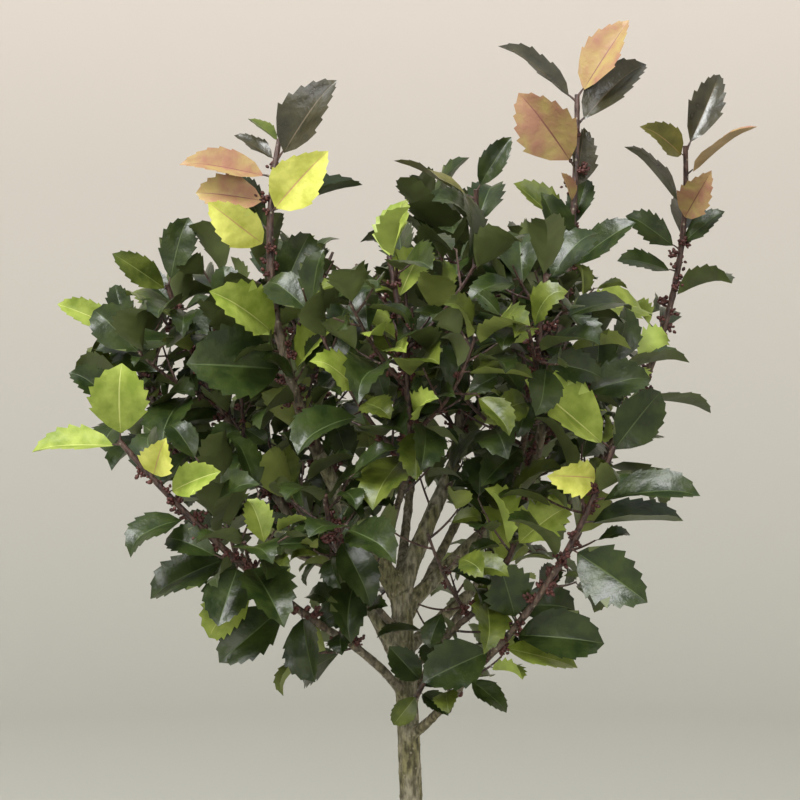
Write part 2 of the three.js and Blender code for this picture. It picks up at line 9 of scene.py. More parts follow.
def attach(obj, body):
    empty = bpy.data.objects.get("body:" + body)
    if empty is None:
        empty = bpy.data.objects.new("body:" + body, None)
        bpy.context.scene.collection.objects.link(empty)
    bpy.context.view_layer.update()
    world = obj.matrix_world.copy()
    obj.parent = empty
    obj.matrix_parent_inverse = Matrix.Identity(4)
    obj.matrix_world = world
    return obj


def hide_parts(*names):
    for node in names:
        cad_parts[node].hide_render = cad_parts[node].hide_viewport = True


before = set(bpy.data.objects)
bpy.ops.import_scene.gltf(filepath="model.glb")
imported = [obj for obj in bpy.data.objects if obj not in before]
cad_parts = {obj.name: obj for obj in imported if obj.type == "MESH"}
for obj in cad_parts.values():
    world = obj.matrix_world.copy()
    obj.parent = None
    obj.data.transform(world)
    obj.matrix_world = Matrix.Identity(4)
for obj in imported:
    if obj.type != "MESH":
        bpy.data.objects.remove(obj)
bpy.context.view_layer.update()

# ---- Room, light and camera ----------------------------------------------------------------------------
# A round, seamless room in warm grey paint: its floor curves up into the wall on every side, and the paint is
# graded from a darker floor tone to a paler tone up the wall as a painted light falloff. Two soft lamps light
# it, and the plant is seen from the front, level with its crown.
ROOM_RADIUS = 3.6
ROOM_COVE = 1.1
ROOM_HEIGHT = 5.0
ROOM_STEPS = 96
COVE_STEPS = 24
# The floor and wall tones are the two ends of a painted light falloff: darker low down, paler up the wall.
FLOOR_COLOUR_WITH_PAINTED_SHADE = (0.46, 0.465, 0.415)
WALL_COLOUR_WITH_PAINTED_LIGHT = (0.8, 0.74, 0.685)  # at PAINTED_LIGHT_HEIGHT and above
PAINTED_LIGHT_HEIGHT = 1.5
SKY_COLOUR = (0.93, 0.96, 1.0, 1)
SKY_STRENGTH = 0.75
EYE = Vector((-0.0081, -1.2, 0.5732))
LENS = 90  # millimetres, as the next
FILM = 36


def add_to_scene(name, data):
    """A new object in the scene for a mesh, a lamp or a camera."""
    holder = bpy.data.objects.new(name, data)
    bpy.context.collection.objects.link(holder)
    return holder


def mesh_of(name, bm):
    """The mesh of a bmesh, which is then done with."""
    mesh = bpy.data.meshes.new(name)
    bm.to_mesh(mesh)
    bm.free()
    return mesh


def new_finish(name):
    """A new material, with its nodes, its links and its shader."""
    finish = bpy.data.materials.new(name)
    finish.use_nodes = True
    nodes = finish.node_tree.nodes
    return finish, nodes, finish.node_tree.links, nodes["Principled BSDF"]


def add_node(nodes, kind, **values):
    """A new shader node with some of its inputs set: From_Max stands for the input From Max."""
    node = nodes.new(kind)
    for name, value in values.items():
        node.inputs[name.replace("_", " ")].default_value = value
    return node


def mixed(nodes, links, low, high, share):
    """The blend of two colours, or of the outputs that give them, by a share from 0 to 1."""
    mix = nodes.new("ShaderNodeMix")
    mix.data_type = "RGBA"
    for socket, colour in ((mix.inputs[6], low), (mix.inputs[7], high)):
        if isinstance(colour, tuple):
            socket.default_value = (*colour, 1)
        else:
            links.new(colour, socket)
    links.new(share, mix.inputs[0])
    return mix.outputs[2]


room = bmesh.new()
floor_middle = room.verts.new((0, 0, 0))
cove_foot = room.verts.new((ROOM_RADIUS - ROOM_COVE, 0, 0))
room.edges.new((floor_middle, cove_foot))
cove = bmesh.ops.spin(
    room, geom=[cove_foot], cent=(ROOM_RADIUS - ROOM_COVE, 0, ROOM_COVE), axis=(0, -1, 0),
    angle=math.pi / 2, steps=COVE_STEPS,
)
cove_top = next(v for v in cove["geom_last"] if isinstance(v, bmesh.types.BMVert))
wall = bmesh.ops.extrude_vert_indiv(room, verts=[cove_top])
bmesh.ops.translate(room, verts=wall["verts"], vec=(0, 0, ROOM_HEIGHT - ROOM_COVE))
bmesh.ops.spin(
    room, geom=room.verts[:] + room.edges[:], cent=(0, 0, 0), axis=(0, 0, 1),
    angle=2 * math.pi, steps=ROOM_STEPS, use_merge=True,
)
bmesh.ops.remove_doubles(room, verts=room.verts, dist=1e-5)
bmesh.ops.recalc_face_normals(room, faces=room.faces)
room_mesh = mesh_of("room", room)
room_mesh.shade_smooth()
add_to_scene("room", room_mesh)


def wall_paint_with_painted_falloff():
    """Matt paint graded from the darker floor tone to the paler wall tone with height: a painted light
    falloff.
    """
    finish, nodes, links, shader = new_finish("wall_paint_with_painted_falloff")
    shader.inputs["Roughness"].default_value = 0.9
    place = nodes.new("ShaderNodeTexCoord")
    height = nodes.new("ShaderNodeSeparateXYZ")
    links.new(place.outputs["Object"], height.inputs[0])
    # Painted light falloff: the share of the paler wall tone grows with height.
    painted_falloff_share = add_node(nodes, "ShaderNodeMapRange", From_Max=PAINTED_LIGHT_HEIGHT)
    links.new(height.outputs["Z"], painted_falloff_share.inputs["Value"])
    colour = mixed(nodes, links, FLOOR_COLOUR_WITH_PAINTED_SHADE, WALL_COLOUR_WITH_PAINTED_LIGHT, painted_falloff_share.outputs["Result"])
    links.new(colour, shader.inputs["Base Color"])
    return finish


room_mesh.materials.append(wall_paint_with_painted_falloff())


def hang_lamp(name, place, aim, size, watts):
    """A soft square lamp that looks from its place to a point."""
    lamp = bpy.data.lights.new(name, "AREA")
    lamp.shape = "SQUARE"
    lamp.size = size
    lamp.energy = watts
    holder = add_to_scene(name, lamp)
    holder.location = place
    holder.rotation_euler = (Vector(aim) - Vector(place)).to_track_quat("-Z", "Y").to_euler()
    holder.visible_camera = False


hang_lamp("overhead_lamp", (-1.3, -1.5, 2.9), (0, 0, 0.5), 1.4, 127)
hang_lamp("front_lamp", (0.2, -2.7, 1.4), (0, 0, 0.55), 1.2, 20)
sky = bpy.data.worlds.new("room_light")
sky.use_nodes = True
sky.node_tree.nodes["Background"].inputs["Color"].default_value = SKY_COLOUR
sky.node_tree.nodes["Background"].inputs["Strength"].default_value = SKY_STRENGTH
bpy.context.scene.world = sky
bpy.context.scene.view_settings.view_transform = "Standard"

camera = bpy.data.cameras.new("camera")
camera.lens = LENS
camera.sensor_width = FILM
camera_holder = add_to_scene("camera", camera)
camera_holder.location = EYE
camera_holder.rotation_euler = (math.pi / 2, 0, 0)
bpy.context.scene.camera = camera_holder

# ---- Pot -----------------------------------------------------------------------------------------------
# A nursery pot of satin black plastic, moulded in one shot with a rolled rim, stiffening rings and a row of
# drain holes round its foot. It is lathed as one closed wall, and the holes are bored through it.
MM = 0.001
POT_HEIGHT = 190
POT_RIM_RADIUS = 106.6
POT_MOUTH_RADIUS = 103
POT_FOOT_RADIUS = 77
POT_WALL = 2.2
POT_BOTTOM = 3.5
POT_RIM_DEPTH = 13
POT_FOOT_EDGE = 3  # how high the rounding of the foot reaches
POT_STEPS = 144
RING_HEIGHTS = (58, 128)
RING_SHAPE = ((-2.4, 0), (-1.6, 0.8), (0, 1.1), (1.6, 0.8), (2.4, 0))  # up, out
DRAIN_HOLES = 6
DRAIN_RADIUS = 6
DRAIN_HEIGHT = 10.5
DRAIN_STEPS = 28
DRILL_LENGTH = 16


def piece_of(name, mesh, slot, *nodes):
    """A piece of the plant that rides on it and may stand for some nodes; its slot is not used."""
    piece = add_to_scene(name, mesh)
    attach(piece, "root")
    if nodes:
        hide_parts(*nodes)
    return piece


def smooth_mesh(name, bm, finish):
    """The mesh of a bmesh with its faces outward, smooth apart from its sharp edges, in one finish."""
    bmesh.ops.recalc_face_normals(bm, faces=bm.faces)
    mesh = mesh_of(name, bm)
    mesh.shade_smooth()
    mesh.set_sharp_from_angle(angle=math.radians(50))
    mesh.materials.append(finish)
    return mesh


def lathed(profile, steps):
    """A closed shape turned round the upright axis from (radius, height) pairs in millimetres."""
    bm = bmesh.new()
    corners = [bm.verts.new((radius * MM, 0, height * MM)) for radius, height in profile]
    lines = [bm.edges.new(pair) for pair in zip(corners, corners[1:])]
    bmesh.ops.spin(
        bm, geom=corners + lines, cent=(0, 0, 0), axis=(0, 0, 1),
        angle=2 * math.pi, steps=steps, use_merge=True,
    )
    bmesh.ops.remove_doubles(bm, verts=bm.verts, dist=1e-6)
    return bm


def pot_radius(height):
    """The radius of the pot's outer wall at a height, in millimetres."""
    share = (height - POT_FOOT_EDGE) / (POT_HEIGHT - POT_RIM_DEPTH - POT_FOOT_EDGE)
    return POT_FOOT_RADIUS + share * (POT_MOUTH_RADIUS - 2 - POT_FOOT_RADIUS)


def grain_group():
    """A shader group: fine mottling on Object coordinates, with its own bump."""
    group = bpy.data.node_groups.new("fine_grain", "ShaderNodeTree")
    inputs = {"Scale": 200.0, "Detail": 4.0, "Depth": 0.0005, "Stretch": 1.0}
    for name, value in inputs.items():
        group.interface.new_socket(name, in_out="INPUT", socket_type="NodeSocketFloat").default_value = value
    group.interface.new_socket("Mask", in_out="OUTPUT", socket_type="NodeSocketFloat")
    group.interface.new_socket("Normal", in_out="OUTPUT", socket_type="NodeSocketVector")
    nodes, links = group.nodes, group.links
    entry, leave = nodes.new("NodeGroupInput"), nodes.new("NodeGroupOutput")
    place = nodes.new("ShaderNodeTexCoord")
    squash = add_node(nodes, "ShaderNodeCombineXYZ", X=1, Y=1)
    links.new(entry.outputs["Stretch"], squash.inputs["Z"])
    stretched = nodes.new("ShaderNodeVectorMath")
    stretched.operation = "MULTIPLY"
    links.new(place.outputs["Object"], stretched.inputs[0])
    links.new(squash.outputs[0], stretched.inputs[1])
    speckle = nodes.new("ShaderNodeTexNoise")
    links.new(stretched.outputs[0], speckle.inputs["Vector"])
    links.new(entry.outputs["Scale"], speckle.inputs["Scale"])
    links.new(entry.outputs["Detail"], speckle.inputs["Detail"])
    bump = nodes.new("ShaderNodeBump")
    links.new(speckle.outputs["Fac"], bump.inputs["Height"])
    links.new(entry.outputs["Depth"], bump.inputs["Distance"])
    links.new(speckle.outputs["Fac"], leave.inputs["Mask"])
    links.new(bump.outputs["Normal"], leave.inputs["Normal"])
    return group


FINE_GRAIN = grain_group()


def grain_in(nodes, scale, depth, stretch=1.0):
    """The fine grain as a node of a material."""
    grain = nodes.new("ShaderNodeGroup")
    grain.node_tree = FINE_GRAIN
    for name, value in (("Scale", scale), ("Depth", depth), ("Stretch", stretch)):
        grain.inputs[name].default_value = value
    return grain


def grained(name, dark, light, roughness, scale, depth, low=0.35, high=0.65):
    """A finish that wanders between two colours and two roughnesses with the fine grain."""
    finish, nodes, links, shader = new_finish(name)
    grain = grain_in(nodes, scale, depth)
    tint = nodes.new("ShaderNodeValToRGB")
    for end, position, colour in zip(tint.color_ramp.elements, (low, high), (dark, light)):
        end.position = position
        end.color = (*colour, 1)
    links.new(grain.outputs["Mask"], tint.inputs["Fac"])
    links.new(tint.outputs["Color"], shader.inputs["Base Color"])
    gloss = add_node(nodes, "ShaderNodeMapRange", To_Min=roughness[0], To_Max=roughness[1])
    links.new(grain.outputs["Mask"], gloss.inputs["Value"])
    links.new(gloss.outputs["Result"], shader.inputs["Roughness"])
    links.new(grain.outputs["Normal"], shader.inputs["Normal"])
    return finish


pot_plastic = grained("pot_plastic", (0.012, 0.0125, 0.014), (0.022, 0.023, 0.025), (0.34, 0.5), 900, 0.0001)
shoulder = POT_HEIGHT - POT_RIM_DEPTH
ring_profile = [
    (pot_radius(height + lift) + out, height + lift) for height in RING_HEIGHTS for lift, out in RING_SHAPE
]
pot_profile = [
    (0, 1.6), (POT_FOOT_RADIUS - 16, 1.6), (POT_FOOT_RADIUS - 14, 0), (POT_FOOT_RADIUS - 2, 0),
    (POT_FOOT_RADIUS, 2.4), (pot_radius(24), 24), *ring_profile, (pot_radius(shoulder - 3), shoulder - 3),
    (POT_MOUTH_RADIUS - 1, shoulder - 0.6), (POT_RIM_RADIUS - 1.6, shoulder),
    (POT_RIM_RADIUS - 0.4, shoulder + 1), (POT_RIM_RADIUS, POT_HEIGHT - 3.4),
    (POT_RIM_RADIUS - 0.5, POT_HEIGHT - 1.2), (POT_RIM_RADIUS - 2, POT_HEIGHT),
    (POT_MOUTH_RADIUS - POT_WALL + 1, POT_HEIGHT),
    (POT_MOUTH_RADIUS - POT_WALL, POT_HEIGHT - 1.2), (POT_FOOT_RADIUS - POT_WALL + 0.6, POT_BOTTOM + 1),
    (POT_FOOT_RADIUS - POT_WALL - 1, POT_BOTTOM), (0, POT_BOTTOM),
]
pot_mesh = smooth_mesh("nursery_pot", lathed(pot_profile, POT_STEPS), pot_plastic)
pot = piece_of("nursery_pot", pot_mesh, "pot", "pot")
drill = bmesh.new()
for k in range(DRAIN_HOLES):
    bore = bmesh.ops.create_cone(
        drill, cap_ends=True, segments=DRAIN_STEPS, radius1=DRAIN_RADIUS * MM, radius2=DRAIN_RADIUS * MM,
        depth=DRILL_LENGTH * MM,
    )
    turn = Matrix.Rotation(2 * math.pi * (k + 0.5) / DRAIN_HOLES, 4, "Z")
    lay = Matrix.Translation((0, POT_FOOT_RADIUS * MM, DRAIN_HEIGHT * MM))
    lay = lay @ Matrix.Rotation(math.pi / 2, 4, "X")
    bmesh.ops.transform(drill, matrix=turn @ lay, verts=bore["verts"])
drill_holder = add_to_scene("drill", mesh_of("drill", drill))
boring = pot.modifiers.new("drain_holes", "BOOLEAN")
boring.operation = "DIFFERENCE"
boring.object = drill_holder
boring.solver = "EXACT"


def settle_modifiers(piece):
    """Makes a piece's live modifiers part of its mesh."""
    graph = bpy.context.evaluated_depsgraph_get()
    settled = bpy.data.meshes.new_from_object(piece.evaluated_get(graph))
    piece.modifiers.clear()
    piece.data = settled


settle_modifiers(pot)
bpy.data.objects.remove(drill_holder)

# ---- Soil ----------------------------------------------------------------------------------------------
# Dark peat that fills the pot to a finger below the rim, uneven and crumbly on top, with lumps of bark and
# a few white grains of perlite pressed into it.
SOIL_TOP = 172
SOIL_RINGS = 64
SOIL_STEPS = 180
SOIL_FOOT_RADIUS = POT_FOOT_RADIUS - POT_WALL - 0.5
SOIL_FILL = (SOIL_TOP - POT_BOTTOM) / (POT_HEIGHT - POT_BOTTOM)
SOIL_TOP_RADIUS = SOIL_FOOT_RADIUS + (POT_MOUTH_RADIUS - POT_FOOT_RADIUS) * SOIL_FILL


def soil_height(x, y):
    """How far the crumbly surface stands above or below the level of the soil, in millimetres."""
    place = Vector((x, y, 0))
    lumps = noise.fractal(place * 0.11, 0.9, 2.1, 4)
    swell = noise.noise(place * 0.025)
    edge = min(1.0, (SOIL_TOP_RADIUS - math.hypot(x, y)) / 6)
    return (1.5 * lumps + 1.6 * swell) * edge - 1.2


soil_profile = [(0, POT_BOTTOM + 0.3), (SOIL_FOOT_RADIUS, POT_BOTTOM + 0.3)]
soil_profile += [(SOIL_TOP_RADIUS * k / SOIL_RINGS, SOIL_TOP) for k in range(SOIL_RINGS, -1, -1)]
soil_bm = lathed(soil_profile, SOIL_STEPS)
for corner in soil_bm.verts:
    if corner.co.z > (SOIL_TOP - 1) * MM:
        corner.co.z += soil_height(corner.co.x / MM, corner.co.y / MM) * MM
peat = grained("peat", (0.012, 0.008, 0.005), (0.075, 0.048, 0.03), (0.85, 1.0), 620, 0.0012, 0.3, 0.72)
piece_of("potting_soil", smooth_mesh("potting_soil", soil_bm, peat), "soil", "soil")

LUMPS = 420
PERLITE = 60
SOIL_SEED = 31
soil_random = np.random.default_rng(SOIL_SEED)
noise.seed_set(SOIL_SEED)  # for noise_vector, which roughens the grains


def strew(name, count, sizes, flat, finish):
    """Rough grains pressed into the soil, joined into one piece."""
    grains = bmesh.new()
    for _ in range(count):
        size = soil_random.uniform(*sizes)
        radius = (SOIL_TOP_RADIUS - 5) * math.sqrt(soil_random.uniform(0.02, 1))
        turn = soil_random.uniform(0, 2 * math.pi)
        x, y = radius * math.cos(turn), radius * math.sin(turn)
        place = Matrix.Translation(Vector((x, y, SOIL_TOP + soil_height(x, y) + size * 0.1)) * MM)
        tilt = Matrix.Rotation(turn * 3, 4, "Z") @ Matrix.Rotation(soil_random.uniform(-0.5, 0.5), 4, "X")
        shape = Matrix.Diagonal((1, soil_random.uniform(0.5, 0.8), flat, 1))
        made = bmesh.ops.create_icosphere(
            grains, subdivisions=1, radius=size * MM / 2, matrix=place @ tilt @ shape
        )
        for corner in made["verts"]:
            corner.co += noise.noise_vector(corner.co * 900) * size * MM * 0.14
    piece_of(name, smooth_mesh(name, grains, finish), "soil")


lump_bark = grained("lump_bark", (0.03, 0.018, 0.01), (0.13, 0.08, 0.05), (0.8, 0.95), 500, 0.0006)
perlite = grained("perlite", (0.55, 0.53, 0.5), (0.8, 0.79, 0.76), (0.8, 0.95), 900, 0.0004)
strew("bark_lumps", LUMPS, (3, 9), 0.45, lump_bark)
strew("perlite_grains", PERLITE, (1.8, 3.6), 0.8, perlite)

# ---- Trunk and boughs ----------------------------------------------------------------------------------
# Living wood: one short clear trunk with a flare at the soil, and boughs that fork from it and taper out.
# They are drawn ring by ring, grown together at the forks, and the bark is raised in ridges and leaf scars.
GAP = 0.3
UP = np.array((0.0, 0.0, 1.0))
TRUNK = dict(via=(-2, 3, 352), tip=(-9, 0, 466), foot_radius=7.6, tip_radius=6.2, flare=4.2, flare_height=9)
BOUGHS = {  # name: foot, halfway, tip, radius at the foot and at the tip
    "left_leader": ((-9, 0, 459), (-34, -15, 499), (-56, -40, 543), 5.8, 3.8),
    "centre": ((-8, 0, 460), (9, 8, 499), (25, 18, 535), 5.8, 3.9),
    "right_leader": ((-7, 1, 447), (28, 13, 479), (68, 2, 519), 4.8, 3.4),
    "far_right": ((-5, 2, 423), (34, 38, 453), (83, 56, 495), 3.8, 2.8),
    "lower_right": ((-1, 2, 372), (13, -17, 387), (31, -42, 413), 2.9, 2.3),
    "left_shoulder": ((-5, 1, 412), (-33, 6, 457), (-70, 14, 496), 4.0, 2.9),
    "lower_left": ((-4, 1, 394), (-26, -22, 421), (-51, -44, 441), 2.8, 2.3),
    "front": ((-18, -5, 476), (-13, -26, 499), (-5, -56, 527), 2.7, 2.0),
    "front_right": ((53, 8, 507), (57, -18, 519), (61, -46, 539), 2.5, 2.0),
    "left_outer": ((-48, 9, 473), (-82, 26, 485), (-118, 34, 517), 2.4, 2.0),
    "back_left": ((-9, 1, 452), (-25, 40, 487), (-44, 84, 542), 3.4, 2.4),
    "back_centre": ((-9, 1, 460), (-4, 46, 497), (2, 84, 549), 3.2, 2.4),
    "back_right": ((-7, 1, 436), (27, 60, 495), (54, 92, 546), 3.2, 2.4),
    "back_low_left": ((-4, 1, 402), (-25, 54, 437), (-50, 92, 478), 2.9, 2.2),
    "back_low_right": ((-3, 1, 388), (23, 55, 429), (52, 92, 472), 2.9, 2.2),
    "inner_left": ((-6, 1, 432), (-20, -14, 448), (-31, -32, 466), 2.3, 1.9),
    "inner_right": ((-4, 1, 410), (13, -15, 426), (27, -34, 443), 2.3, 1.9),
    "sprig": ((-1, 2, 391), (0, -8, 394), (1, -14, 397), 1.8, 1.6),
}
RING_STEP = dict(trunk=24, bough=18, stem=30)
FINE_STEP = 1.6  # between the rings of the finished wood
TRUNK_SIDES = 36
BOUGH_SIDES = 20
COLLAR = dict(swell=0.35, height=9)  # how a bough widens at its foot, of its radius there
WOOD_VOXEL = 0.9
BARK_RIDGE = 0.42  # how far the ridges of the oldest bark stand out, in millimetres as the next two
BARK_KNOT = 0.35
LEAF_SCAR = 0.28
SCAR_SPACING = 15.5
YOUNG_RADIUS = 1.2  # wood no thicker has young bark
AGEING = 2.4  # how much thicker wood has to be for fully aged bark
COMPARED_AT_ONCE = 4000


def unit(v):
    return v / np.linalg.norm(v)


def square_to(v, n):
    """The part of v that is square to the unit vector n, made one long."""
    return unit(v - n * (v @ n))


def bowed(foot, via, tip, step):
    """A bowed line from foot to tip that passes through via halfway, with a point about every step."""
    foot, via, tip = (np.array(p, float) for p in (foot, via, tip))
    steps = max(2, math.floor(np.linalg.norm(tip - foot) / step + 0.5))
    share = np.linspace(0, 1, steps + 1)[:, None]
    control = 2 * via - 0.5 * foot - 0.5 * tip
    return (1 - share) ** 2 * foot + 2 * (1 - share) * share * control + share**2 * tip


def line_length(line):
    return float(np.linalg.norm(np.diff(line, axis=0), axis=1).sum())


def along(line, distance):
    """The place and direction at a distance along a line of points."""
    for start, end in zip(line, line[1:]):
        span = np.linalg.norm(end - start)
        if distance <= span or end is line[-1]:
            break
        distance -= span
    direction = (end - start) / span
    return start + direction * distance, direction


def line_end(line):
    return unit(line[-1] - line[-2])


def frames_along(line, first=None):
    """For each point of a line: its direction and the side that stays the most like the one before."""
    ways, sides, side = [], [], None
    for i in range(len(line)):
        way = unit(line[min(i + 1, len(line) - 1)] - line[max(i - 1, 0)])
        if i == 0 and first is not None:
            way = first
        if side is None:
            side = np.array((1.0, 0.0, 0.0)) if abs(way[0]) < 0.8 else UP
        side = square_to(side, way)
        ways.append(way)
        sides.append(side)
    return np.array(ways), np.array(sides)


def ring_corners(line, radii, sides, first=None):
    """The corners of the rings of a limb round a line, as an array of rings by sides by three."""
    ways, flanks = frames_along(line, first)
    others = np.cross(ways, flanks)
    turn = 2 * np.pi * np.arange(sides) / sides
    spread = np.cos(turn)[None, :, None] * flanks[:, None] + np.sin(turn)[None, :, None] * others[:, None]
    return line[:, None] + spread * np.asarray(radii, float)[:, None, None]


def draw_limb(bm, line, radii, sides):
    """Sets a ring at each point of a line, bridges one to the next and closes both ends."""
    ways, flanks = frames_along(line)
    rings = []
    for place, way, flank, radius in zip(line, ways, flanks, radii):
        stand = Matrix((flank, np.cross(way, flank), way)).transposed().to_4x4()
        stand.translation = Vector(place) * MM
        ring = bmesh.ops.create_circle(bm, segments=sides, radius=radius * MM, matrix=stand)["verts"]
        rings.append(list({edge for corner in ring for edge in corner.link_edges}))
    for lower, upper in zip(rings, rings[1:]):
        bmesh.ops.bridge_loops(bm, edges=lower + upper)
    bmesh.ops.holes_fill(bm, edges=rings[0] + rings[-1])


trunk_foot = np.array((0, 0, SOIL_TOP + GAP))
trunk_line = bowed(trunk_foot, TRUNK["via"], TRUNK["tip"], RING_STEP["trunk"])
bough_lines = {
    name: bowed(foot, via, tip, RING_STEP["bough"]) for name, (foot, via, tip, _, _) in BOUGHS.items()
}


def trunk_radius(share, height):
    plain = TRUNK["foot_radius"] + (TRUNK["tip_radius"] - TRUNK["foot_radius"]) * share
    return plain + TRUNK["flare"] * math.exp((trunk_foot[2] - height) / TRUNK["flare_height"])


def finely(line, step):
    """The same bowed run with points a fine step apart, and how far along each one lies."""
    far = np.concatenate(([0], np.cumsum(np.linalg.norm(np.diff(line, axis=0), axis=1))))
    share = np.linspace(0, 1, max(3, round(far[-1] / step)) + 1)
    smooth = np.array([np.polyfit(far / far[-1], line[:, k], min(2, len(line) - 1)) for k in range(3)])
    places = np.stack([np.polyval(row, share) for row in smooth], axis=1)
    return places, share * far[-1]


wood_bm = bmesh.new()
axes = []  # of every limb: places, directions, distance along, radius
limbs = [("trunk", trunk_line)] + list(bough_lines.items())
for name, line in limbs:
    places, far = finely(line, FINE_STEP)
    share = far / far[-1]
    if name == "trunk":
        radii = np.array([trunk_radius(s, z) for s, z in zip(share, places[:, 2])])
        sides = TRUNK_SIDES
    else:
        foot_radius, tip_radius = BOUGHS[name][3:]
        collar = COLLAR["swell"] * foot_radius * np.exp(-far / COLLAR["height"])
        radii = foot_radius + (tip_radius - foot_radius) * share + collar
        sides = BOUGH_SIDES
    draw_limb(wood_bm, places, radii, sides)
    axes.append((places, frames_along(places)[0], far, radii))
bmesh.ops.recalc_face_normals(wood_bm, faces=wood_bm.faces)
bough_nodes = [f"bough_{name}" for name in BOUGHS]
wood = piece_of("trunk_and_boughs", mesh_of("trunk_and_boughs", wood_bm), "bark", "trunk", *bough_nodes)
joining = wood.modifiers.new("grown_together", "REMESH")
joining.mode = "VOXEL"
joining.voxel_size = WOOD_VOXEL * MM
joining.use_smooth_shade = True
easing = wood.modifiers.new("eased_forks", "SMOOTH")
easing.factor = 0.5
easing.iterations = 4
settle_modifiers(wood)


def read_corners(mesh, what):
    """The places or the normals of a mesh's corners as an array."""
    values = np.empty(len(mesh.vertices) * 3)
    mesh.vertices.foreach_get(what, values)
    return values.reshape(-1, 3)


skin, outward = read_corners(wood.data, "co") / MM, read_corners(wood.data, "normal")
axis_places, axis_ways, axis_far, axis_radii = (np.concatenate(part) for part in zip(*axes))
nearest = np.empty(len(skin), int)
for start in range(0, len(skin), COMPARED_AT_ONCE):
    block = skin[start : start + COMPARED_AT_ONCE]
    away = np.linalg.norm(block[:, None] - axis_places[None], axis=2) / axis_radii
    nearest[start : start + COMPARED_AT_ONCE] = away.argmin(axis=1)
age = np.clip((axis_radii[nearest] - YOUNG_RADIUS) / AGEING, 0, 1)
lift = np.empty(len(skin))
for k, (place, near) in enumerate(zip(skin, nearest)):
    far = axis_far[near]
    across = (place - axis_places[near]) * 0.55
    spot = Vector(across + axis_ways[near] * far * 0.09)
    ridges = noise.fractal(spot, 0.8, 2.2, 3)
    knots = noise.noise(Vector(place) * 0.11)
    scar = math.exp(-(((far + 3 * knots) % SCAR_SPACING - SCAR_SPACING / 2) ** 2) / 1.1)
    lift[k] = BARK_RIDGE * (0.3 + 0.7 * age[k]) * ridges + BARK_KNOT * knots + LEAF_SCAR * scar
skin += outward * lift[:, None]
wood.data.vertices.foreach_set("co", (skin * MM).ravel())
wood.data.shade_smooth()


def give_age(mesh, ages):
    """Sets how old the bark is at each corner of a mesh, from 0 to 1."""
    mesh.attributes.new("age", "FLOAT", "POINT").data.foreach_set("value", ages)


YOUNG_BARK = ((0.026, 0.012, 0.011), (0.105, 0.058, 0.045))
OLIVE_BARK = ((0.06, 0.055, 0.026), (0.27, 0.25, 0.125))
GREY_BARK = ((0.1, 0.09, 0.055), (0.36, 0.33, 0.24))
PORES = (0.34, 0.3, 0.22)


def bark_finish():
    """Purple-brown on young wood, patchy olive and grey on old wood, with pale breathing pores on both."""
    finish, nodes, links, shader = new_finish("bark")

    def ranged(value, low, high, floor=0.0, ceiling=1.0):
        node = add_node(
            nodes, "ShaderNodeMapRange", From_Min=low, From_Max=high, To_Min=floor, To_Max=ceiling
        )
        links.new(value, node.inputs["Value"])
        return node.outputs["Result"]

    years = nodes.new("ShaderNodeAttribute")
    years.attribute_name = "age"
    fine = grain_in(nodes, 430, 0.0009, 0.35)
    speckle = ranged(fine.outputs["Mask"], 0.36, 0.64)
    patch = ranged(grain_in(nodes, 95, 0.0, 0.5).outputs["Mask"], 0.42, 0.58)
    young, olive, grey = (
        mixed(nodes, links, dark, light, speckle) for dark, light in (YOUNG_BARK, OLIVE_BARK, GREY_BARK)
    )
    aged = mixed(nodes, links, young, mixed(nodes, links, olive, grey, patch), years.outputs["Fac"])
    place = nodes.new("ShaderNodeTexCoord")
    pores = add_node(nodes, "ShaderNodeTexVoronoi", Scale=240)
    links.new(place.outputs["Object"], pores.inputs["Vector"])
    fleck = ranged(pores.outputs["Distance"], 0.22, 0.1, 0.0, 0.7)
    links.new(mixed(nodes, links, aged, PORES, fleck), shader.inputs["Base Color"])
    links.new(ranged(years.outputs["Fac"], 0, 1, 0.45, 0.82), shader.inputs["Roughness"])
    links.new(fine.outputs["Normal"], shader.inputs["Normal"])
    return finish


bark = bark_finish()
give_age(wood.data, age)
wood.data.materials.clear()
wood.data.materials.append(bark)

# ---- How the crown grows -------------------------------------------------------------------------------
# Each mass of foliage is one young stem that carries its bough on, with side twigs in a spiral round it and
# leaves in a spiral round those. A twig or leaf that would touch what stands already is turned, or left out.
SEED = 7105
SPIRAL = math.radians(137.5)
CLEAR = 0.5
CROWN = dict(axis=(-20, 0), low=372, depth=300, neck=48, spread=110, brow=590, dome=92)
HOLLOWS = (  # where it bears no leaves: round the fork, before the left leader, and in the dip of its top
    ((6, 0, 484), (38, 130, 48)),
    ((-69, -118, 590), (19, 46, 76)),
    ((-35, -10, 690), (27, 220, 62)),
)
STEM = dict(tip_radius=1.5, sides=5, first_twig=8)
TWIG = dict(
    foot_radius=1.3, tip_radius=0.8, sides=3, spacing=18, step=21,
    lean=48, rise=0.2, wander=0.2, shrink=0.62,
)
LEAF = dict(
    length=47, width=0.6, young_width=0.46, young_from=600, thickness=1.8, ridge=0.18,
    internode=21.5, first=9, rise=(22, 58), droop=0.15, low_droop=0.42, low_from=560, low_depth=180,
)
LEAF_OUTLINE = ((0, 0), (0.36, -0.98), (0.74, -0.74), (1, 0), (0.74, 0.74), (0.36, 0.98))
LEAF_FACES = np.array(
    [(i, (i + 1) % 6, 6) for i in range(6)] + [(0, 5, 1), (1, 5, 4), (1, 4, 2), (2, 4, 3)]
)
FRONT = np.array((0.0, -1.0, 0.0))
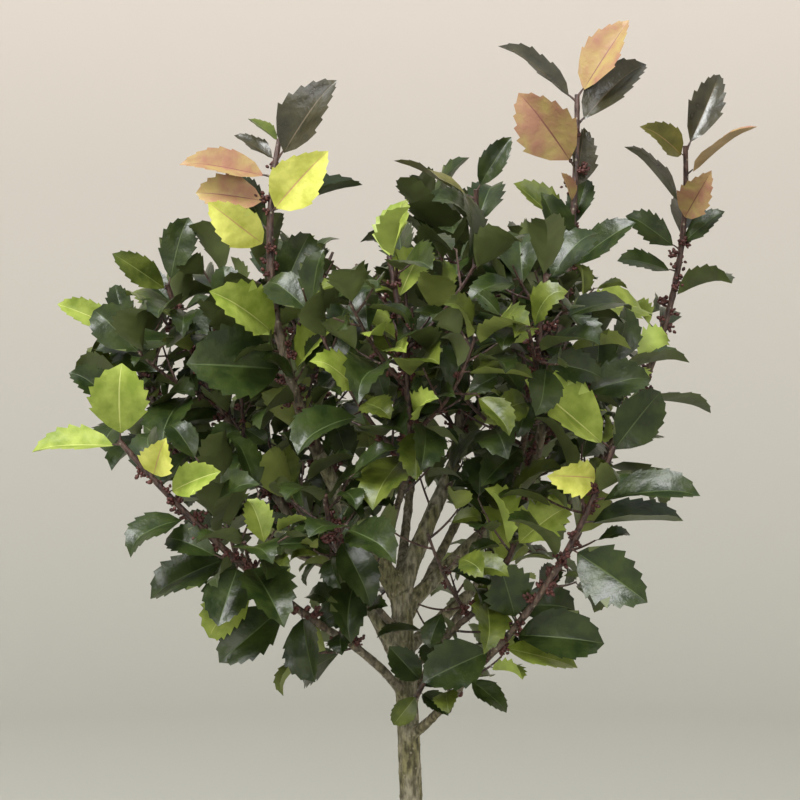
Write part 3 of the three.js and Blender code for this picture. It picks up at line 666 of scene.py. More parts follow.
# Shown leaves: below the tip, tilt, lean, length, share that faces the front, breadth, tint, for some roll
MASSES = [
    dict(name="left_leader", via=(-81, -66, 640), tip=(-76, -60, 721), twigs=74, bare=0.1, open=108, shown=(
        (12, 36, 10, 56, 0.62, 1.15, "dusky"), (44, 42, 22, 50, 0.85, 1.35, "yellow", 0.15),
        (63, -55, 30, 44, 0.9, 1.3, "yellow", -0.3), (22, -80, 10, 52, 0.5, 1.05, "bronze"),
        (1, -49, -20, 25, 0.3, 1, "mid"), (12, -57, -15, 30, 0.3, 1, "dusky"),
        (36, -84, 5, 42, 0.8, 1.2, "bronze"), (54, -31, -25, 42, 0.4, 1, "dark"),
        (98, 20, -14, 50, 0.8, 1.1, "dark"), (42, 68, -20, 58, 0.4, 1, "dark"),
        (115, -50, 40, 55, 0.7, 1.2, "lime"), (134, -86, 25, 60, 0.9, 1.3, "dark"),
        (138, 35, 25, 42, 0.6, 1, "lime"),
    )),
    dict(name="right_leader", via=(88, -26, 628), tip=(96, -26, 752), twigs=74, bare=0.12, open=116, shown=(
        (1, 35, 5, 53, 0.5, 1.05, "bronze"), (4, -49, -5, 57, 0.3, 0.9, "dusky"),
        (18, 42, -10, 58, 0.45, 1, "dusky"), (43, -36, 15, 54, 0.9, 1.35, "bronze", -0.5),
        (58, 10, -15, 42, 0.2, 1, "dusky"), (64, -24, 45, 24, 0.7, 1, "bronze"),
        (80, 18, -20, 36, 0.4, 1, "dark"), (82, -47, 0, 44, 0.6, 1.1, "mid"),
        (100, -22, 25, 46, 0.7, 1.1, "dark"), (106, -76, 10, 48, 0.5, 1, "lime"),
        (102, 52, 25, 48, 0.6, 1.1, "dark"),
    )),
    dict(name="far_right", via=(147, 48, 590), tip=(168, 28, 728), twigs=70, bare=0.1, open=90, shown=(
        (1, 26, -12, 56, 0.6, 0.95, "dusky"), (6, -57, 35, 40, 0.7, 1.1, "olive"),
        (17, 50, 24, 52, 0.35, 0.9, "bronze"), (36, -40, 5, 51, 0.35, 0.9, "dusky"),
        (46, 24, 45, 42, 0.9, 1.15, "bronze"), (54, 16, -45, 42, 0.5, 1.1, "dusky"),
        (60, 50, 20, 34, 0.5, 1, "dark"), (62, -57, 10, 38, 0.6, 1, "dark"),
        (76, -76, 15, 38, 0.4, 0.9, "dark"),
    )),
    dict(name="lower_right", via=(79, -87, 479), tip=(109, -100, 548), twigs=36, bare=0.4, open=26, shown=(
        (2, -53, 18, 62, 0.8, 1, "lime"), (6, 38, -14, 48, 0.7, 1, "dark"),
        (19, -84, 30, 34, 0.85, 1.2, "yellow"), (32, 80, 15, 58, 0.45, 0.8, "dark"),
        (62, 123, 30, 54, 0.9, 1, "dark"), (119, -17, 30, 40, 0.8, 1, "dark"),
        (129, 91, 15, 54, 0.8, 1, "dark"), (139, 104, 5, 46, 0.3, 1, "lime"),
        (142, -110, 20, 46, 0.8, 1, "dark"), (170, 130, 20, 30, 0.35, 0.85, "dark"),
    )),
    dict(name="lower_left", via=(-112, -83, 495), tip=(-163, -96, 551), twigs=44, bare=0.3, open=34, shown=(
        (1, 2, 30, 46, 0.9, 1, "lime"), (3, -91, 0, 50, 0.3, 0.85, "lime", 0),
        (28, 20, 40, 30, 0.8, 1, "yellow"), (39, 66, 25, 36, 0.6, 1, "lime"),
        (91, -113, 10, 50, 0.5, 1, "dark"), (97, -165, 40, 42, 0.9, 1, "dark"),
        (112, -137, 0, 44, 0.6, 1, "lime"), (137, -131, 15, 51, 0.9, 1, "dark"),
        (147, 168, 35, 44, 0.9, 1, "dark"),
    )),
    dict(name="left_shoulder", via=(-120, 6, 576), tip=(-146, -12, 642), twigs=72, bare=0.05, open=24, shown=(
        (1, 13, 0, 42, 0.6, 1, "dark"), (5, -55, 30, 42, 0.8, 1, "mid"),
        (14, -46, -20, 42, 0.5, 1, "dark"), (36, -92, 15, 54, 0.5, 1, "dark"),
    )),
    dict(name="left_outer", via=(-152, 28, 560), tip=(-176, 16, 617), twigs=60, bare=0.05, open=20, shown=(
        (1, -69, 15, 42, 0.8, 1, "lime"), (10, -15, -15, 40, 0.5, 1, "dark"),
    )),
    dict(name="centre", via=(34, 19, 612), tip=(38, 6, 700), twigs=84, bare=0.05, open=22, shown=(
        (1, 30, 5, 38, 0.5, 1, "dark"), (6, -62, 5, 54, 0.5, 0.9, "olive"),
    )),
    dict(name="front", via=(-4, -92, 579), tip=(-14, -100, 652), twigs=84, bare=0.05, open=16),
    dict(name="front_right", via=(66, -92, 583), tip=(72, -104, 642), twigs=76, bare=0.05, open=16),
    dict(name="inner_left", via=(-44, -58, 490), tip=(-50, -82, 520), twigs=44, bare=0.02, open=14),
    dict(name="inner_right", via=(44, -58, 464), tip=(56, -76, 492), twigs=44, bare=0.02, open=14),
    dict(name="back_left", via=(-64, 102, 598), tip=(-68, 94, 656), twigs=84, bare=0.05, open=16),
    dict(name="back_centre", via=(8, 112, 620), tip=(12, 98, 698), twigs=84, bare=0.05, open=16),
    dict(name="back_right", via=(80, 110, 600), tip=(86, 100, 658), twigs=84, bare=0.05, open=16),
    dict(name="back_low_left", via=(-74, 113, 519), tip=(-88, 118, 582), twigs=76, bare=0.02, open=16),
    dict(name="back_low_right", via=(78, 113, 515), tip=(95, 116, 578), twigs=76, bare=0.02, open=16),
    dict(name="sprig", via=(3, -22, 401), tip=(6, -28, 408), twigs=0, bare=0.3, open=20, shown=(
        (1, -42, 25, 32, 0.9, 1, "dark"), (6, 60, 10, 26, 0.6, 1, "dark"),
        (9, 118, 40, 25, 0.5, 1, "dark"), (12, -142, 10, 23, 0.4, 1, "mid"),
    )),
]


def seeded(seed):
    """A small generator of numbers from 0 to 1 that gives the same row for the same seed."""
    word = 0xFFFFFFFF
    state = seed & word

    def draw():
        nonlocal state
        state = (state + 0x6D2B79F5) & word
        bits = ((state ^ (state >> 15)) * (state | 1)) & word
        bits ^= (bits + (bits ^ (bits >> 7)) * (bits | 61)) & word
        return (bits ^ (bits >> 14)) / 4294967296

    return draw


def limb_triangles(line, radii, sides, first=None):
    """The triangles of a tapering limb with flat ends."""
    corners = ring_corners(line, radii, sides, first).reshape(-1, 3).astype(np.float32).astype(float)
    last = (len(line) - 1) * sides
    faces = []
    for k in range(sides):
        following = (k + 1) % sides
        for row in range(0, last, sides):
            faces.append((row + k, row + following, row + sides + following))
            faces.append((row + k, row + sides + following, row + sides + k))
        if k > 1:
            faces += [(0, k, k - 1), (last, last + k - 1, last + k)]
    return corners[np.array(faces)]


def leaf_triangles(leaf, extra=0.0):
    """The triangles of a leaf's room: its outline below, and the ridge of its upper skin near the foot."""
    side = np.cross(leaf["face"], leaf["along"])
    half = leaf["length"] * leaf["width"] / 2 + extra
    corners = [
        leaf["foot"]
        + leaf["along"] * (far * leaf["length"] + (extra if far == 1 else 0))
        + side * out * half
        - leaf["face"] * extra
        for far, out in LEAF_OUTLINE
    ]
    ridge = leaf["along"] * LEAF["ridge"] * leaf["length"] + leaf["face"] * (LEAF["thickness"] + extra)
    corners.append(leaf["foot"] + ridge)
    return np.array(corners)[LEAF_FACES]


def pierces(start, end, triangles):
    """For each pair, whether the line from start to end passes through the triangle."""
    way = end - start
    ab, ac = triangles[:, 1] - triangles[:, 0], triangles[:, 2] - triangles[:, 0]
    cross = np.cross(way, ac)
    size = (ab * cross).sum(1)
    flat = np.abs(size) < 1e-9
    size = np.where(flat, 1, size)
    reach = start - triangles[:, 0]
    u = (reach * cross).sum(1) / size
    turned = np.cross(reach, ab)
    v = (way * turned).sum(1) / size
    t = (ac * turned).sum(1) / size
    return ~flat & (u >= 0) & (u <= 1) & (v >= 0) & (u + v <= 1) & (t >= 0) & (t <= 1)


class Thicket:
    """Every triangle that stands so far, and what it belongs to."""

    def __init__(self, room):
        self.triangles = np.zeros((room, 3, 3))
        self.low, self.high = np.zeros((room, 3)), np.zeros((room, 3))
        self.owners = np.zeros(room, int)
        self.count = 0
        self.names = {}

    def number(self, owner):
        return self.names.setdefault(owner, len(self.names))

    def stand(self, triangles, owner):
        span = slice(self.count, self.count + len(triangles))
        self.triangles[span] = triangles
        self.low[span], self.high[span] = triangles.min(1), triangles.max(1)
        self.owners[span] = self.number(owner)
        self.count += len(triangles)

    def blocked(self, triangles, spared):
        """Whether any of these triangles crosses one that stands, apart from those of the owners named."""
        low, high = triangles.min(1), triangles.max(1)
        near = (self.low[: self.count] <= high.max(0)).all(1) & (self.high[: self.count] >= low.min(0)).all(1)
        near &= ~np.isin(self.owners[: self.count], [self.number(owner) for owner in spared])
        others = np.flatnonzero(near)
        meet = (low[:, None] <= self.high[others]).all(2) & (high[:, None] >= self.low[others]).all(2)
        mine, theirs = np.nonzero(meet)
        if not len(mine):
            return False
        s, t = triangles[mine], self.triangles[others[theirs]]
        return any(
            pierces(a[:, k], a[:, (k + 1) % 3], b).any() for k in range(3) for a, b in ((s, t), (t, s))
        )


thicket = Thicket(120_000)
trunk_rings = [trunk_radius(k / (len(trunk_line) - 1), p[2]) for k, p in enumerate(trunk_line)]
thicket.stand(limb_triangles(trunk_line, trunk_rings, 10, UP), "trunk")
for name, line in bough_lines.items():
    thicket.stand(limb_triangles(line, np.linspace(*BOUGHS[name][3:], len(line)), 6), f"bough_{name}")


def share_of(value):
    """A value held between 0 and 1."""
    return min(max(value, 0), 1)


def crown_reach(height):
    """How far from the crown's axis the side twigs reach at a height."""
    share = share_of((height - CROWN["low"]) / CROWN["depth"])
    over = share_of((height - CROWN["brow"]) / CROWN["dome"])
    reach = CROWN["neck"] + CROWN["spread"] * math.sin(math.pi * (share * 0.62 + 0.03))
    return reach * math.sqrt(1 - over * over)


def from_axis(place):
    """How far a place is from the crown's axis."""
    return math.hypot(place[0] - CROWN["axis"][0], place[1] - CROWN["axis"][1])


def light_on(place, direction):
    """The way the light comes to a leaf: along its twig, from above and from outside the crown."""
    outward = unit(np.array((place[0], place[1], 0)))
    return direction * 0.7 + UP * 0.6 + outward * 0.35


def grow_stem(mass):
    """The stem of a mass, which grows on from its bough."""
    bough = bough_lines[mass["name"]]
    line = bowed(bough[-1] + line_end(bough) * GAP, mass["via"], mass["tip"], RING_STEP["stem"])
    foot_radius = BOUGHS[mass["name"]][4]
    share = np.linspace(0, 1, len(line)) ** 0.8
    radii = foot_radius + (STEM["tip_radius"] - foot_radius) * share
    stem = dict(owner=f"{mass['name']}_stem", mass=mass["name"], line=line, radii=radii)
    thicket.stand(limb_triangles(line, radii, STEM["sides"], line_end(bough)), stem["owner"])
    return stem


def stands(leaf, twig, clear, leaves):
    """Lets a leaf of a twig stand if it keeps clear of all else, and says whether it does."""
    if thicket.blocked(leaf_triangles(leaf, clear), [twig["owner"]]):
        return False
    thicket.stand(leaf_triangles(leaf), f"{twig['owner']}_leaf")
    leaves.append(leaf)
    return True


def grow_shown(mass, stem, random):
    """The leaves that make a mass's outline, in their own places on its stem."""
    leaves = []
    length = line_length(stem["line"])
    for below, tilt, lean, size, facing, breadth, tint, *roll in mass.get("shown", ()):
        place, direction = along(stem["line"], length - below)
        aside, forward = math.radians(tilt), math.radians(lean)
        way = np.array((math.sin(aside), 0, math.cos(aside))) * math.cos(forward)
        way += FRONT * math.sin(forward)
        light = light_on(place, direction) * (1 - facing) + FRONT * facing
        width = LEAF["young_width" if place[2] > LEAF["young_from"] else "width"] * breadth
        width *= 0.94 + 0.12 * random()
        leaf = dict(foot=place, along=way, face=square_to(light, way), length=size, width=width)
        leaf.update(tint=tint, roll=roll[0] if roll else None)
        stands(leaf, stem, CLEAR, leaves)
    return leaves


def grow_twig(start, direction, length, random, spared):
    """A side twig that curves up, cut short where it would leave the crown or touch."""
    line, way, far = [start], direction.copy(), 0
    while far < length:
        way[2] += TWIG["rise"]
        way[0] += TWIG["wander"] * (random() - 0.5)
        way[1] += TWIG["wander"] * (random() - 0.5)
        way = unit(way)
        tip = line[-1] + way * TWIG["step"]
        if from_axis(tip) > crown_reach(tip[2]):
            break
        run = np.array((line[-1], tip))
        if thicket.blocked(limb_triangles(run, [TWIG["foot_radius"] + CLEAR] * 2, TWIG["sides"]), spared):
            break
        line.append(tip)
        far += TWIG["step"]
    return np.array(line) if len(line) > 1 else None


def leaving(direction, turn, lean):
    """The way a twig leaves what bears it: turned round it, and leaning out from its direction."""
    out = square_to(np.array((math.cos(turn), math.sin(turn), 0.01)), direction)
    return out * math.sin(lean) + direction * math.cos(lean)


def grow_twigs(mass, stem, random):
    """The side twigs of a stem, which leave it in a spiral and get shorter towards its tip."""
    grown = []
    length = line_length(stem["line"])
    turn = 2 * math.pi * random()
    far = length * mass["bare"] + STEM["first_twig"]
    while mass["twigs"] and far < length - mass["open"]:
        turn += SPIRAL
        place, direction = along(stem["line"], far)
        way = leaving(direction, turn, math.radians(TWIG["lean"] * (0.83 + 0.34 * random())))
        reach = mass["twigs"] * (1 - TWIG["shrink"] * far / length) * (0.8 + 0.4 * random())
        line = grow_twig(place, way, reach, random, [stem["owner"], f"bough_{mass['name']}"])
        if line is not None:
            radii = np.linspace(TWIG["foot_radius"], TWIG["tip_radius"], len(line))
            twig = dict(owner=f"{mass['name']}_twig_{len(grown)}", mass=mass["name"], line=line, radii=radii)
            thicket.stand(limb_triangles(line, radii, TWIG["sides"]), twig["owner"])
            grown.append(twig)
        far += TWIG["spacing"] * (0.75 + 0.5 * random())
    return grown


def leaf_at(twig, far, turn, rise, droop, length, random):
    """One leaf on a twig: it leaves by the spiral, leans to the tip, droops with age and faces the light."""
    place, direction = along(twig["line"], far)
    upright = UP if abs(direction[2]) < 0.9 else np.array((0.0, 1.0, 0.0))
    reference = square_to(upright, direction)
    out = reference * math.cos(turn) + np.cross(direction, reference) * math.sin(turn)
    way = out * math.cos(rise) + direction * math.sin(rise)
    way[2] -= droop
    way = unit(way)
    face = square_to(light_on(place, direction), way)
    length *= 0.84 + 0.32 * random()
    width = LEAF["width"] * (0.92 + 0.16 * random())
    return dict(foot=place, along=way, face=face, length=length, width=width)


def in_hollow(leaf):
    """Whether the broad part of a leaf lies in one of the crown's hollows."""
    spot = leaf["foot"] + leaf["along"] * leaf["length"] * 0.6
    return any(np.linalg.norm((spot - middle) / radii) < 1 for middle, radii in HOLLOWS)


def place_leaf(twig, far, turn, rise, droop, length, random, leaves):
    """Tries a leaf where the spiral puts it, then turned or shorter, and skips it if it still touches."""
    for swing, size in ((0, 1), (0.5, 0.95), (-0.5, 0.9), (0.9, 0.8), (-0.9, 0.8)):
        leaf = leaf_at(twig, far, turn + swing, rise, droop, length * size, random)
        leaf["tipward"] = far / line_length(twig["line"])
        if not in_hollow(leaf) and stands(leaf, twig, CLEAR, leaves):
            return


def grow_leaves(mass, twig, is_stem, random):
    """The leaves of one twig: a spiral from its first leaf up, and two at its tip."""
    leaves = []
    length = line_length(twig["line"])
    low = share_of((LEAF["low_from"] - twig["line"][0][2]) / LEAF["low_depth"])
    turn = 2 * math.pi * random()
    first = length * max(mass["bare"], 0.06) if is_stem else LEAF["first"]
    far = length - mass["open"] if is_stem and "shown" in mass else length - 2
    while far > first:
        tipward = far / length
        foot_rise, tip_rise = LEAF["rise"]
        rise = math.radians(foot_rise + (tip_rise - foot_rise) * tipward**2)
        droop = (LEAF["droop"] + LEAF["low_droop"] * low) * (1 - tipward * 0.7)
        size = LEAF["length"] * (0.86 if tipward > 0.93 else 1)
        place_leaf(twig, far, turn, rise, droop, size, random, leaves)
        if tipward > 0.93:
            place_leaf(twig, far - 1.5, turn + 2.1, rise, droop, size, random, leaves)
        turn += SPIRAL
        far -= LEAF["internode"] * (0.8 + 0.4 * random())
    return leaves


randoms = [seeded(SEED + 100 * index) for index in range(len(MASSES))]
stems = [grow_stem(mass) for mass in MASSES]
shown_leaves = [grow_shown(*row) for row in zip(MASSES, stems, randoms)]
side_twigs = [grow_twigs(*row) for row in zip(MASSES, stems, randoms)]
sprays = []  # each is one stem or twig and the leaves it bears
for mass, stem, twigs, random in zip(MASSES, stems, side_twigs, randoms):
    sprays += [(twig, grow_leaves(mass, twig, twig is stem, random)) for twig in [stem, *twigs]]

# ---- Finer growth --------------------------------------------------------------------------------------
# By the same rule, short shoots with small leaves then fill the room that the big leaves leave inside the
# crown, on the stems, on the side twigs and on the upper halves of the boughs.
BARE_STEMS = ("lower_left_stem", "lower_right_stem")  # long low shoots that bear big leaves and buds only
FINE_SHOOT = dict(
    radius=0.75, tip_radius=0.5, sides=3, clear=0.2, step=9, spacing=11, length=(14, 34),
    lean=58, rise=0.14, wander=0.2, past_crown=8,
)
FINE_LEAF = dict(
    length=(20, 36), internode=9.5, first=5, rise=(25, 55), droop=0.12, clear=0.15, past_crown=26
)


def grow_fine_leaves(shoot, random):
    """The small leaves of a short shoot, in a spiral from its tip down."""
    leaves = []
    turn = 2 * math.pi * random()
    length = line_length(shoot["line"])
    far = length - 0.5
    while far > FINE_LEAF["first"]:
        tipward = far / length
        low_rise, high_rise = FINE_LEAF["rise"]
        rise = math.radians(low_rise + (high_rise - low_rise) * tipward)
        shortest, longest = FINE_LEAF["length"]
        size = shortest + (longest - shortest) * random()
        for swing in (0, 0.8, -0.8, 1.7):
            leaf = leaf_at(shoot, far, turn + swing, rise, FINE_LEAF["droop"], size, random)
            leaf["tipward"] = tipward
            tip = leaf["foot"] + leaf["along"] * leaf["length"]
            outside = in_hollow(leaf) or from_axis(tip) > crown_reach(tip[2]) + FINE_LEAF["past_crown"]
            if not outside and stands(leaf, shoot, FINE_LEAF["clear"], leaves):
                break
        turn += SPIRAL
        far -= FINE_LEAF["internode"] * (0.8 + 0.4 * random())
    return leaves


def grow_fine_shoots(bearer, lowest, highest, random):
    """Short leafy shoots in a spiral round a stem, twig or bough, from one share of its length to another."""
    grown = []
    length = line_length(bearer["line"])
    turn, far = 2 * math.pi * random(), length * lowest
    while far < length * highest:
        turn += SPIRAL
        place, direction = along(bearer["line"], far)
        far += FINE_SHOOT["spacing"] * (0.6 + 0.8 * random())
        way = leaving(direction, turn, math.radians(FINE_SHOOT["lean"] * (0.8 + 0.4 * random())))
        shortest, longest = FINE_SHOOT["length"]
        reach = shortest + (longest - shortest) * random()
        line = [place]
        for _ in range(round(reach / FINE_SHOOT["step"])):
            way = unit(way + UP * FINE_SHOOT["rise"] + FRONT * FINE_SHOOT["wander"] * (random() - 0.5))
            line.append(line[-1] + way * FINE_SHOOT["step"])
            if from_axis(line[-1]) > crown_reach(line[-1][2]) + FINE_SHOOT["past_crown"]:
                break
        line = np.array(line)
        radii = np.linspace(FINE_SHOOT["radius"], FINE_SHOOT["tip_radius"], len(line))
        shoot = dict(
            owner=f"{bearer['owner']}_shoot_{len(grown)}", mass=bearer["mass"], line=line, radii=radii
        )
        room = limb_triangles(line, radii + FINE_SHOOT["clear"], FINE_SHOOT["sides"])
        if thicket.blocked(room, [bearer["owner"], f"bough_{bearer['mass']}"]):
            continue
        leaves = grow_fine_leaves(shoot, random)
        if leaves:
            thicket.stand(limb_triangles(line, radii, FINE_SHOOT["sides"]), shoot["owner"])
            grown.append((shoot, leaves))
    return grown


fine_random = seeded(SEED + 5000)
open_tips = {f"{mass['name']}_stem": mass["open"] for mass in MASSES if "shown" in mass}
bearers = []
for twig, _ in sprays:
    if twig["mass"] != "sprig" and twig["owner"] not in BARE_STEMS:
        open_share = open_tips.get(twig["owner"], 0) / line_length(twig["line"])
        bearers.append((twig, 0.12, min(0.97, 1 - open_share)))
for name, line in bough_lines.items():
    if name != "sprig":
        bearers.append((dict(owner=f"bough_{name}", mass=name, line=line), 0.6, 0.97))
for bearer, lowest, highest in bearers:
    sprays += grow_fine_shoots(bearer, lowest, highest, fine_random)

# ---- Leaves --------------------------------------------------------------------------------------------
# Thick, waxy holly leaves: oval on a wedge-shaped foot, folded up along the midrib and bent back, with five
# forward spines a side. New leaves are folded more, run out to a long tip, and are lime, yellow or bronze.
STATIONS = (0.11, 0.26, 0.41, 0.56, 0.7, 0.82, 0.92)  # where the cells of the blade meet, of its length
FIRST_SPINY = 1  # the cells beyond this station bear spines, and those before it have an entire margin
COLUMNS = (-1, -0.5, -0.03, 0.03, 0.5, 1)  # of half the breadth, with the midrib between the middle two
PETIOLE = 0.1  # of the leaf's length
BLADE_THICKNESS = 0.9  # millimetres, at the midrib
LONG_SPINE = (0.1, 0.26)  # of half the breadth
FRESH_SPINE = 1.7  # how much longer the spines of soft new leaves are
SPINE_DROP = 0.004  # of the leaf's length, as the next
RIM_DROP = 0.14  # how far the blade curls down again towards its rim
WAVES = 9  # of the rim, in radians for one length
BEND_FROM = 0.42  # of the length: where the blade leaves its foot's line
HOOK_FROM = 0.68  # of the length: where the tip starts to hook down
NEW_TINTS = ("bronze", "yellow", "olive", "dusky")


def half_breadth(share):
    """How broad the blade is at a share of its length, of its broadest."""
    return 2.99 * share**0.8 * (1 - share) ** 0.78


def blade_template():
    """The corners of one blade, one long: along, across, whether it is a spine and whether it is below."""
    corners = [(0, 0, 0, 0)]
    for station in STATIONS:
        half = half_breadth(station)
        corners += [(station + 0.03 * abs(column), half * column, 0, 0) for column in COLUMNS]
    corners.append((1.03, 0, 0, 0))
    for low, high in zip(STATIONS[FIRST_SPINY:], STATIONS[FIRST_SPINY + 1 :]):
        share = low + 0.82 * (high - low)
        corners += [(share + 0.05, side * half_breadth(share), 1, 0) for side in (-1, 1)]
    corners += [(station, 0, 0, 1) for station in STATIONS]
    return np.array(corners, float)


def blade_faces():
    """The faces of the blade above, of its midrib and of the blade below."""
    wide, count = len(COLUMNS), len(STATIONS)
    tip = 1 + wide * count
    keel = tip + 1 + 2 * (count - 1 - FIRST_SPINY)
    above = [(0, 1, 2, 3), (0, 4, 5, 6)]
    midrib = [(0, 3, 4)]
    below = [(0, keel, 1), (0, 6, keel)]
    for cell in range(count - 1):
        left, right = 1 + wide * cell, wide * (cell + 1)
        above.append((left, left + wide, left + wide + 1, left + 1))
        above.append((left + 1, left + wide + 1, left + wide + 2, left + 2))
        midrib.append((left + 2, left + wide + 2, left + wide + 3, left + 3))
        above.append((left + 3, left + wide + 3, left + wide + 4, left + 4))
        above.append((right - 1, right + wide - 1, right + wide, right))
        if cell < FIRST_SPINY:
            below.append((left, keel + cell, keel + cell + 1, left + wide))
            below.append((right, right + wide, keel + cell + 1, keel + cell))
            continue
        spine = tip + 1 + 2 * (cell - FIRST_SPINY)
        above += [(left, spine, left + wide), (right, right + wide, spine + 1)]
        below += [(spine, left, keel + cell), (spine, keel + cell, keel + cell + 1, left + wide)]
        below += [(spine + 1, keel + cell, right), (spine + 1, right + wide, keel + cell + 1, keel + cell)]
    left, right = tip - wide, tip - 1
    above += [(left, tip, left + 2, left + 1), (right - 2, tip, right, right - 1)]
    midrib.append((left + 2, tip, left + 3))
    below += [(left, keel + count - 1, tip), (right, tip, keel + count - 1)]
    return above, midrib, below


TEMPLATE = blade_template()
ABOVE, MIDRIB, BELOW = blade_faces()
shape_random = np.random.default_rng(77)


def turned(across, up, angle):
    """A pair of offsets turned by an angle round the axis that both are square to."""
    return across * np.cos(angle) - up * np.sin(angle), across * np.sin(angle) + up * np.cos(angle)


def bent_blades(leaves):
    """The corners of many leaves at once, each with its own outline, fold, curl and twist."""
    far, across, spine, below = (TEMPLATE[:, k][None] for k in range(4))

    def vary(low, high):
        return shape_random.uniform(low, high, (len(leaves), 1))

    def column(values):
        return np.array(list(values), float)[:, None]

    length = column(leaf["length"] for leaf in leaves)
    width = column(leaf["width"] for leaf in leaves) / 2
    young = column(leaf.get("tint") in NEW_TINTS for leaf in leaves) > 0
    placed = column("tint" in leaf for leaf in leaves) > 0
    fold = np.radians(np.where(young, vary(22, 44), vary(16, 42)))
    curl = np.where(placed, vary(0.1, 0.4), vary(0.15, 1.0))
    hook = vary(0.1, 1.1) * np.where(placed, 0.4, 1)
    sway = vary(-0.5, 0.5)
    wave, phase = vary(0.01, 0.035), vary(0, 2 * np.pi)
    own_roll = column(np.nan if leaf.get("roll") is None else leaf["roll"] for leaf in leaves)
    roll = np.where(np.isnan(own_roll), vary(-0.45, 0.45), own_roll) + vary(-0.4, 0.4) * (far - 0.3)
    span = width * np.where(placed, vary(1.0, 1.14), vary(0.88, 1.08))
    across = across * (1 + np.where(young, vary(-0.85, -0.35), vary(-0.45, 0.3)) * (far - 0.45))
    fresh = column(leaf.get("fresh", False) for leaf in leaves) > 0
    stretch = 1 + spine * vary(*LONG_SPINE) * np.where(fresh, FRESH_SPINE, 1)
    out = np.abs(across)
    high = span * (out * np.sin(fold) - RIM_DROP * across**2)
    high = high + wave * out**2 * np.sin(far * WAVES + phase + 0.8 * np.sign(across))
    high = high * stretch - SPINE_DROP * spine
    flat, high = turned(span * across * stretch * np.cos(fold), high, roll)
    high = high - below * BLADE_THICKNESS / length - hook * 1.5 * np.clip(far - HOOK_FROM, 0, None) ** 2
    blade = 1 - PETIOLE
    bend = curl * (far - BEND_FROM)
    reach = (np.sin(bend) + np.sin(BEND_FROM * curl)) / curl * blade + high * np.sin(bend)
    rise = (np.cos(bend) - 1) / curl * blade + high * np.cos(bend)
    local = np.stack((PETIOLE + reach, flat + sway * 0.1 * far**2, rise), axis=2) * length[:, :, None]
    foot, along_leaf, face = (
        np.array([leaf[key] for leaf in leaves])[:, None] for key in ("foot", "along", "face")
    )
    side = np.cross(face, along_leaf)
    return foot + local[:, :, :1] * along_leaf + local[:, :, 1:2] * side + local[:, :, 2:] * face


def joined_mesh(name, corners, faces, *finishes):
    """A smooth mesh from arrays of corners, in millimetres, and faces."""
    mesh = bpy.data.meshes.new(name)
    mesh.from_pydata((corners * MM).tolist(), [], faces)
    for finish in finishes:
        mesh.materials.append(finish)
    mesh.shade_smooth()
    return mesh


def leaf_mesh(name, leaves, finishes):
    """Many leaves joined, with a finish each for the blades, their midribs and their undersides."""
    corners = bent_blades(leaves)
    each = corners.shape[1]
    template = ABOVE + MIDRIB + BELOW
    faces = [tuple(corner + each * k for corner in face) for k in range(len(leaves)) for face in template]
    mesh = joined_mesh(name, corners.reshape(-1, 3), faces, *finishes)
    finish_of = [0] * len(ABOVE) + [1] * len(MIDRIB) + [2] * len(BELOW)
    mesh.polygons.foreach_set("material_index", finish_of * len(leaves))
    mesh.set_sharp_from_angle(angle=math.radians(70))
    return mesh


def waxy(name, shade, lit, roughness, shine):
    """A waxy leaf skin that wanders between two near greens and swells a little between its veins."""
    finish = grained(name, shade, lit, (roughness - 0.06, roughness + 0.1), PUCKER_SCALE, PUCKER_DEPTH)
    shader = finish.node_tree.nodes["Principled BSDF"]
    shader.inputs["Specular IOR Level"].default_value = shine
    shader.inputs["Coat Weight"].default_value = WAX_SHARE * shine
    shader.inputs["Coat Roughness"].default_value = WAX_ROUGHNESS
    return finish


# For each tint: the blade's two greens, its roughness and its shine, then its midrib and its underside.
TINTS = {
    "dark": ((0.013, 0.024, 0.005), (0.034, 0.052, 0.01), 0.32, 0.34, (0.05, 0.075, 0.02), (0.08, 0.1, 0.03)),
    "dusky": ((0.022, 0.02, 0.008), (0.05, 0.046, 0.02), 0.28, 0.55, (0.09, 0.07, 0.04), (0.1, 0.098, 0.045)),
    "mid": ((0.05, 0.072, 0.009), (0.12, 0.15, 0.022), 0.36, 0.3, (0.15, 0.18, 0.045), (0.17, 0.2, 0.045)),
    "lime": ((0.18, 0.245, 0.03), (0.33, 0.4, 0.075), 0.42, 0.25, (0.4, 0.44, 0.13), (0.31, 0.39, 0.08)),
    "yellow": ((0.46, 0.48, 0.08), (0.72, 0.73, 0.18), 0.45, 0.2, (0.45, 0.28, 0.12), (0.52, 0.55, 0.13)),
    "olive": ((0.085, 0.085, 0.018), (0.17, 0.155, 0.035), 0.38, 0.3, (0.26, 0.18, 0.08), (0.19, 0.18, 0.05)),
    "bronze": ((0.41, 0.31, 0.12), (0.35, 0.18, 0.115), 0.42, 0.25, (0.18, 0.07, 0.055), (0.33, 0.22, 0.1)),
}
PUCKER_SCALE = 95
PUCKER_DEPTH = 0.0012
WAX_SHARE = 0.24  # of the shine
WAX_ROUGHNESS = 0.22
YOUNG_SHARE = dict(lime=0.04, mid=0.22)  # of the sprays whose outer leaves are that tint
YOUNG_FROM = 0.55  # of a twig's length, beyond which its leaves are this year's
LIME_FROM = 0.72  # of the crown's reach, nearer in than that even new leaves are mid green
FLUSHES = (  # places in the front of the crown where the nearest spray is a flush of new, lime leaves
    (-24, -110, 595), (-42, -110, 562), (-3, -115, 568), (-6, -110, 628), (25, -100, 668), (165, 20, 636),
    (136, 0, 620), (145, 0, 588), (50, -60, 494), (68, -60, 498), (-64, -90, 508), (-158, 0, 642),
)
PIECE_LEAVES = 1200

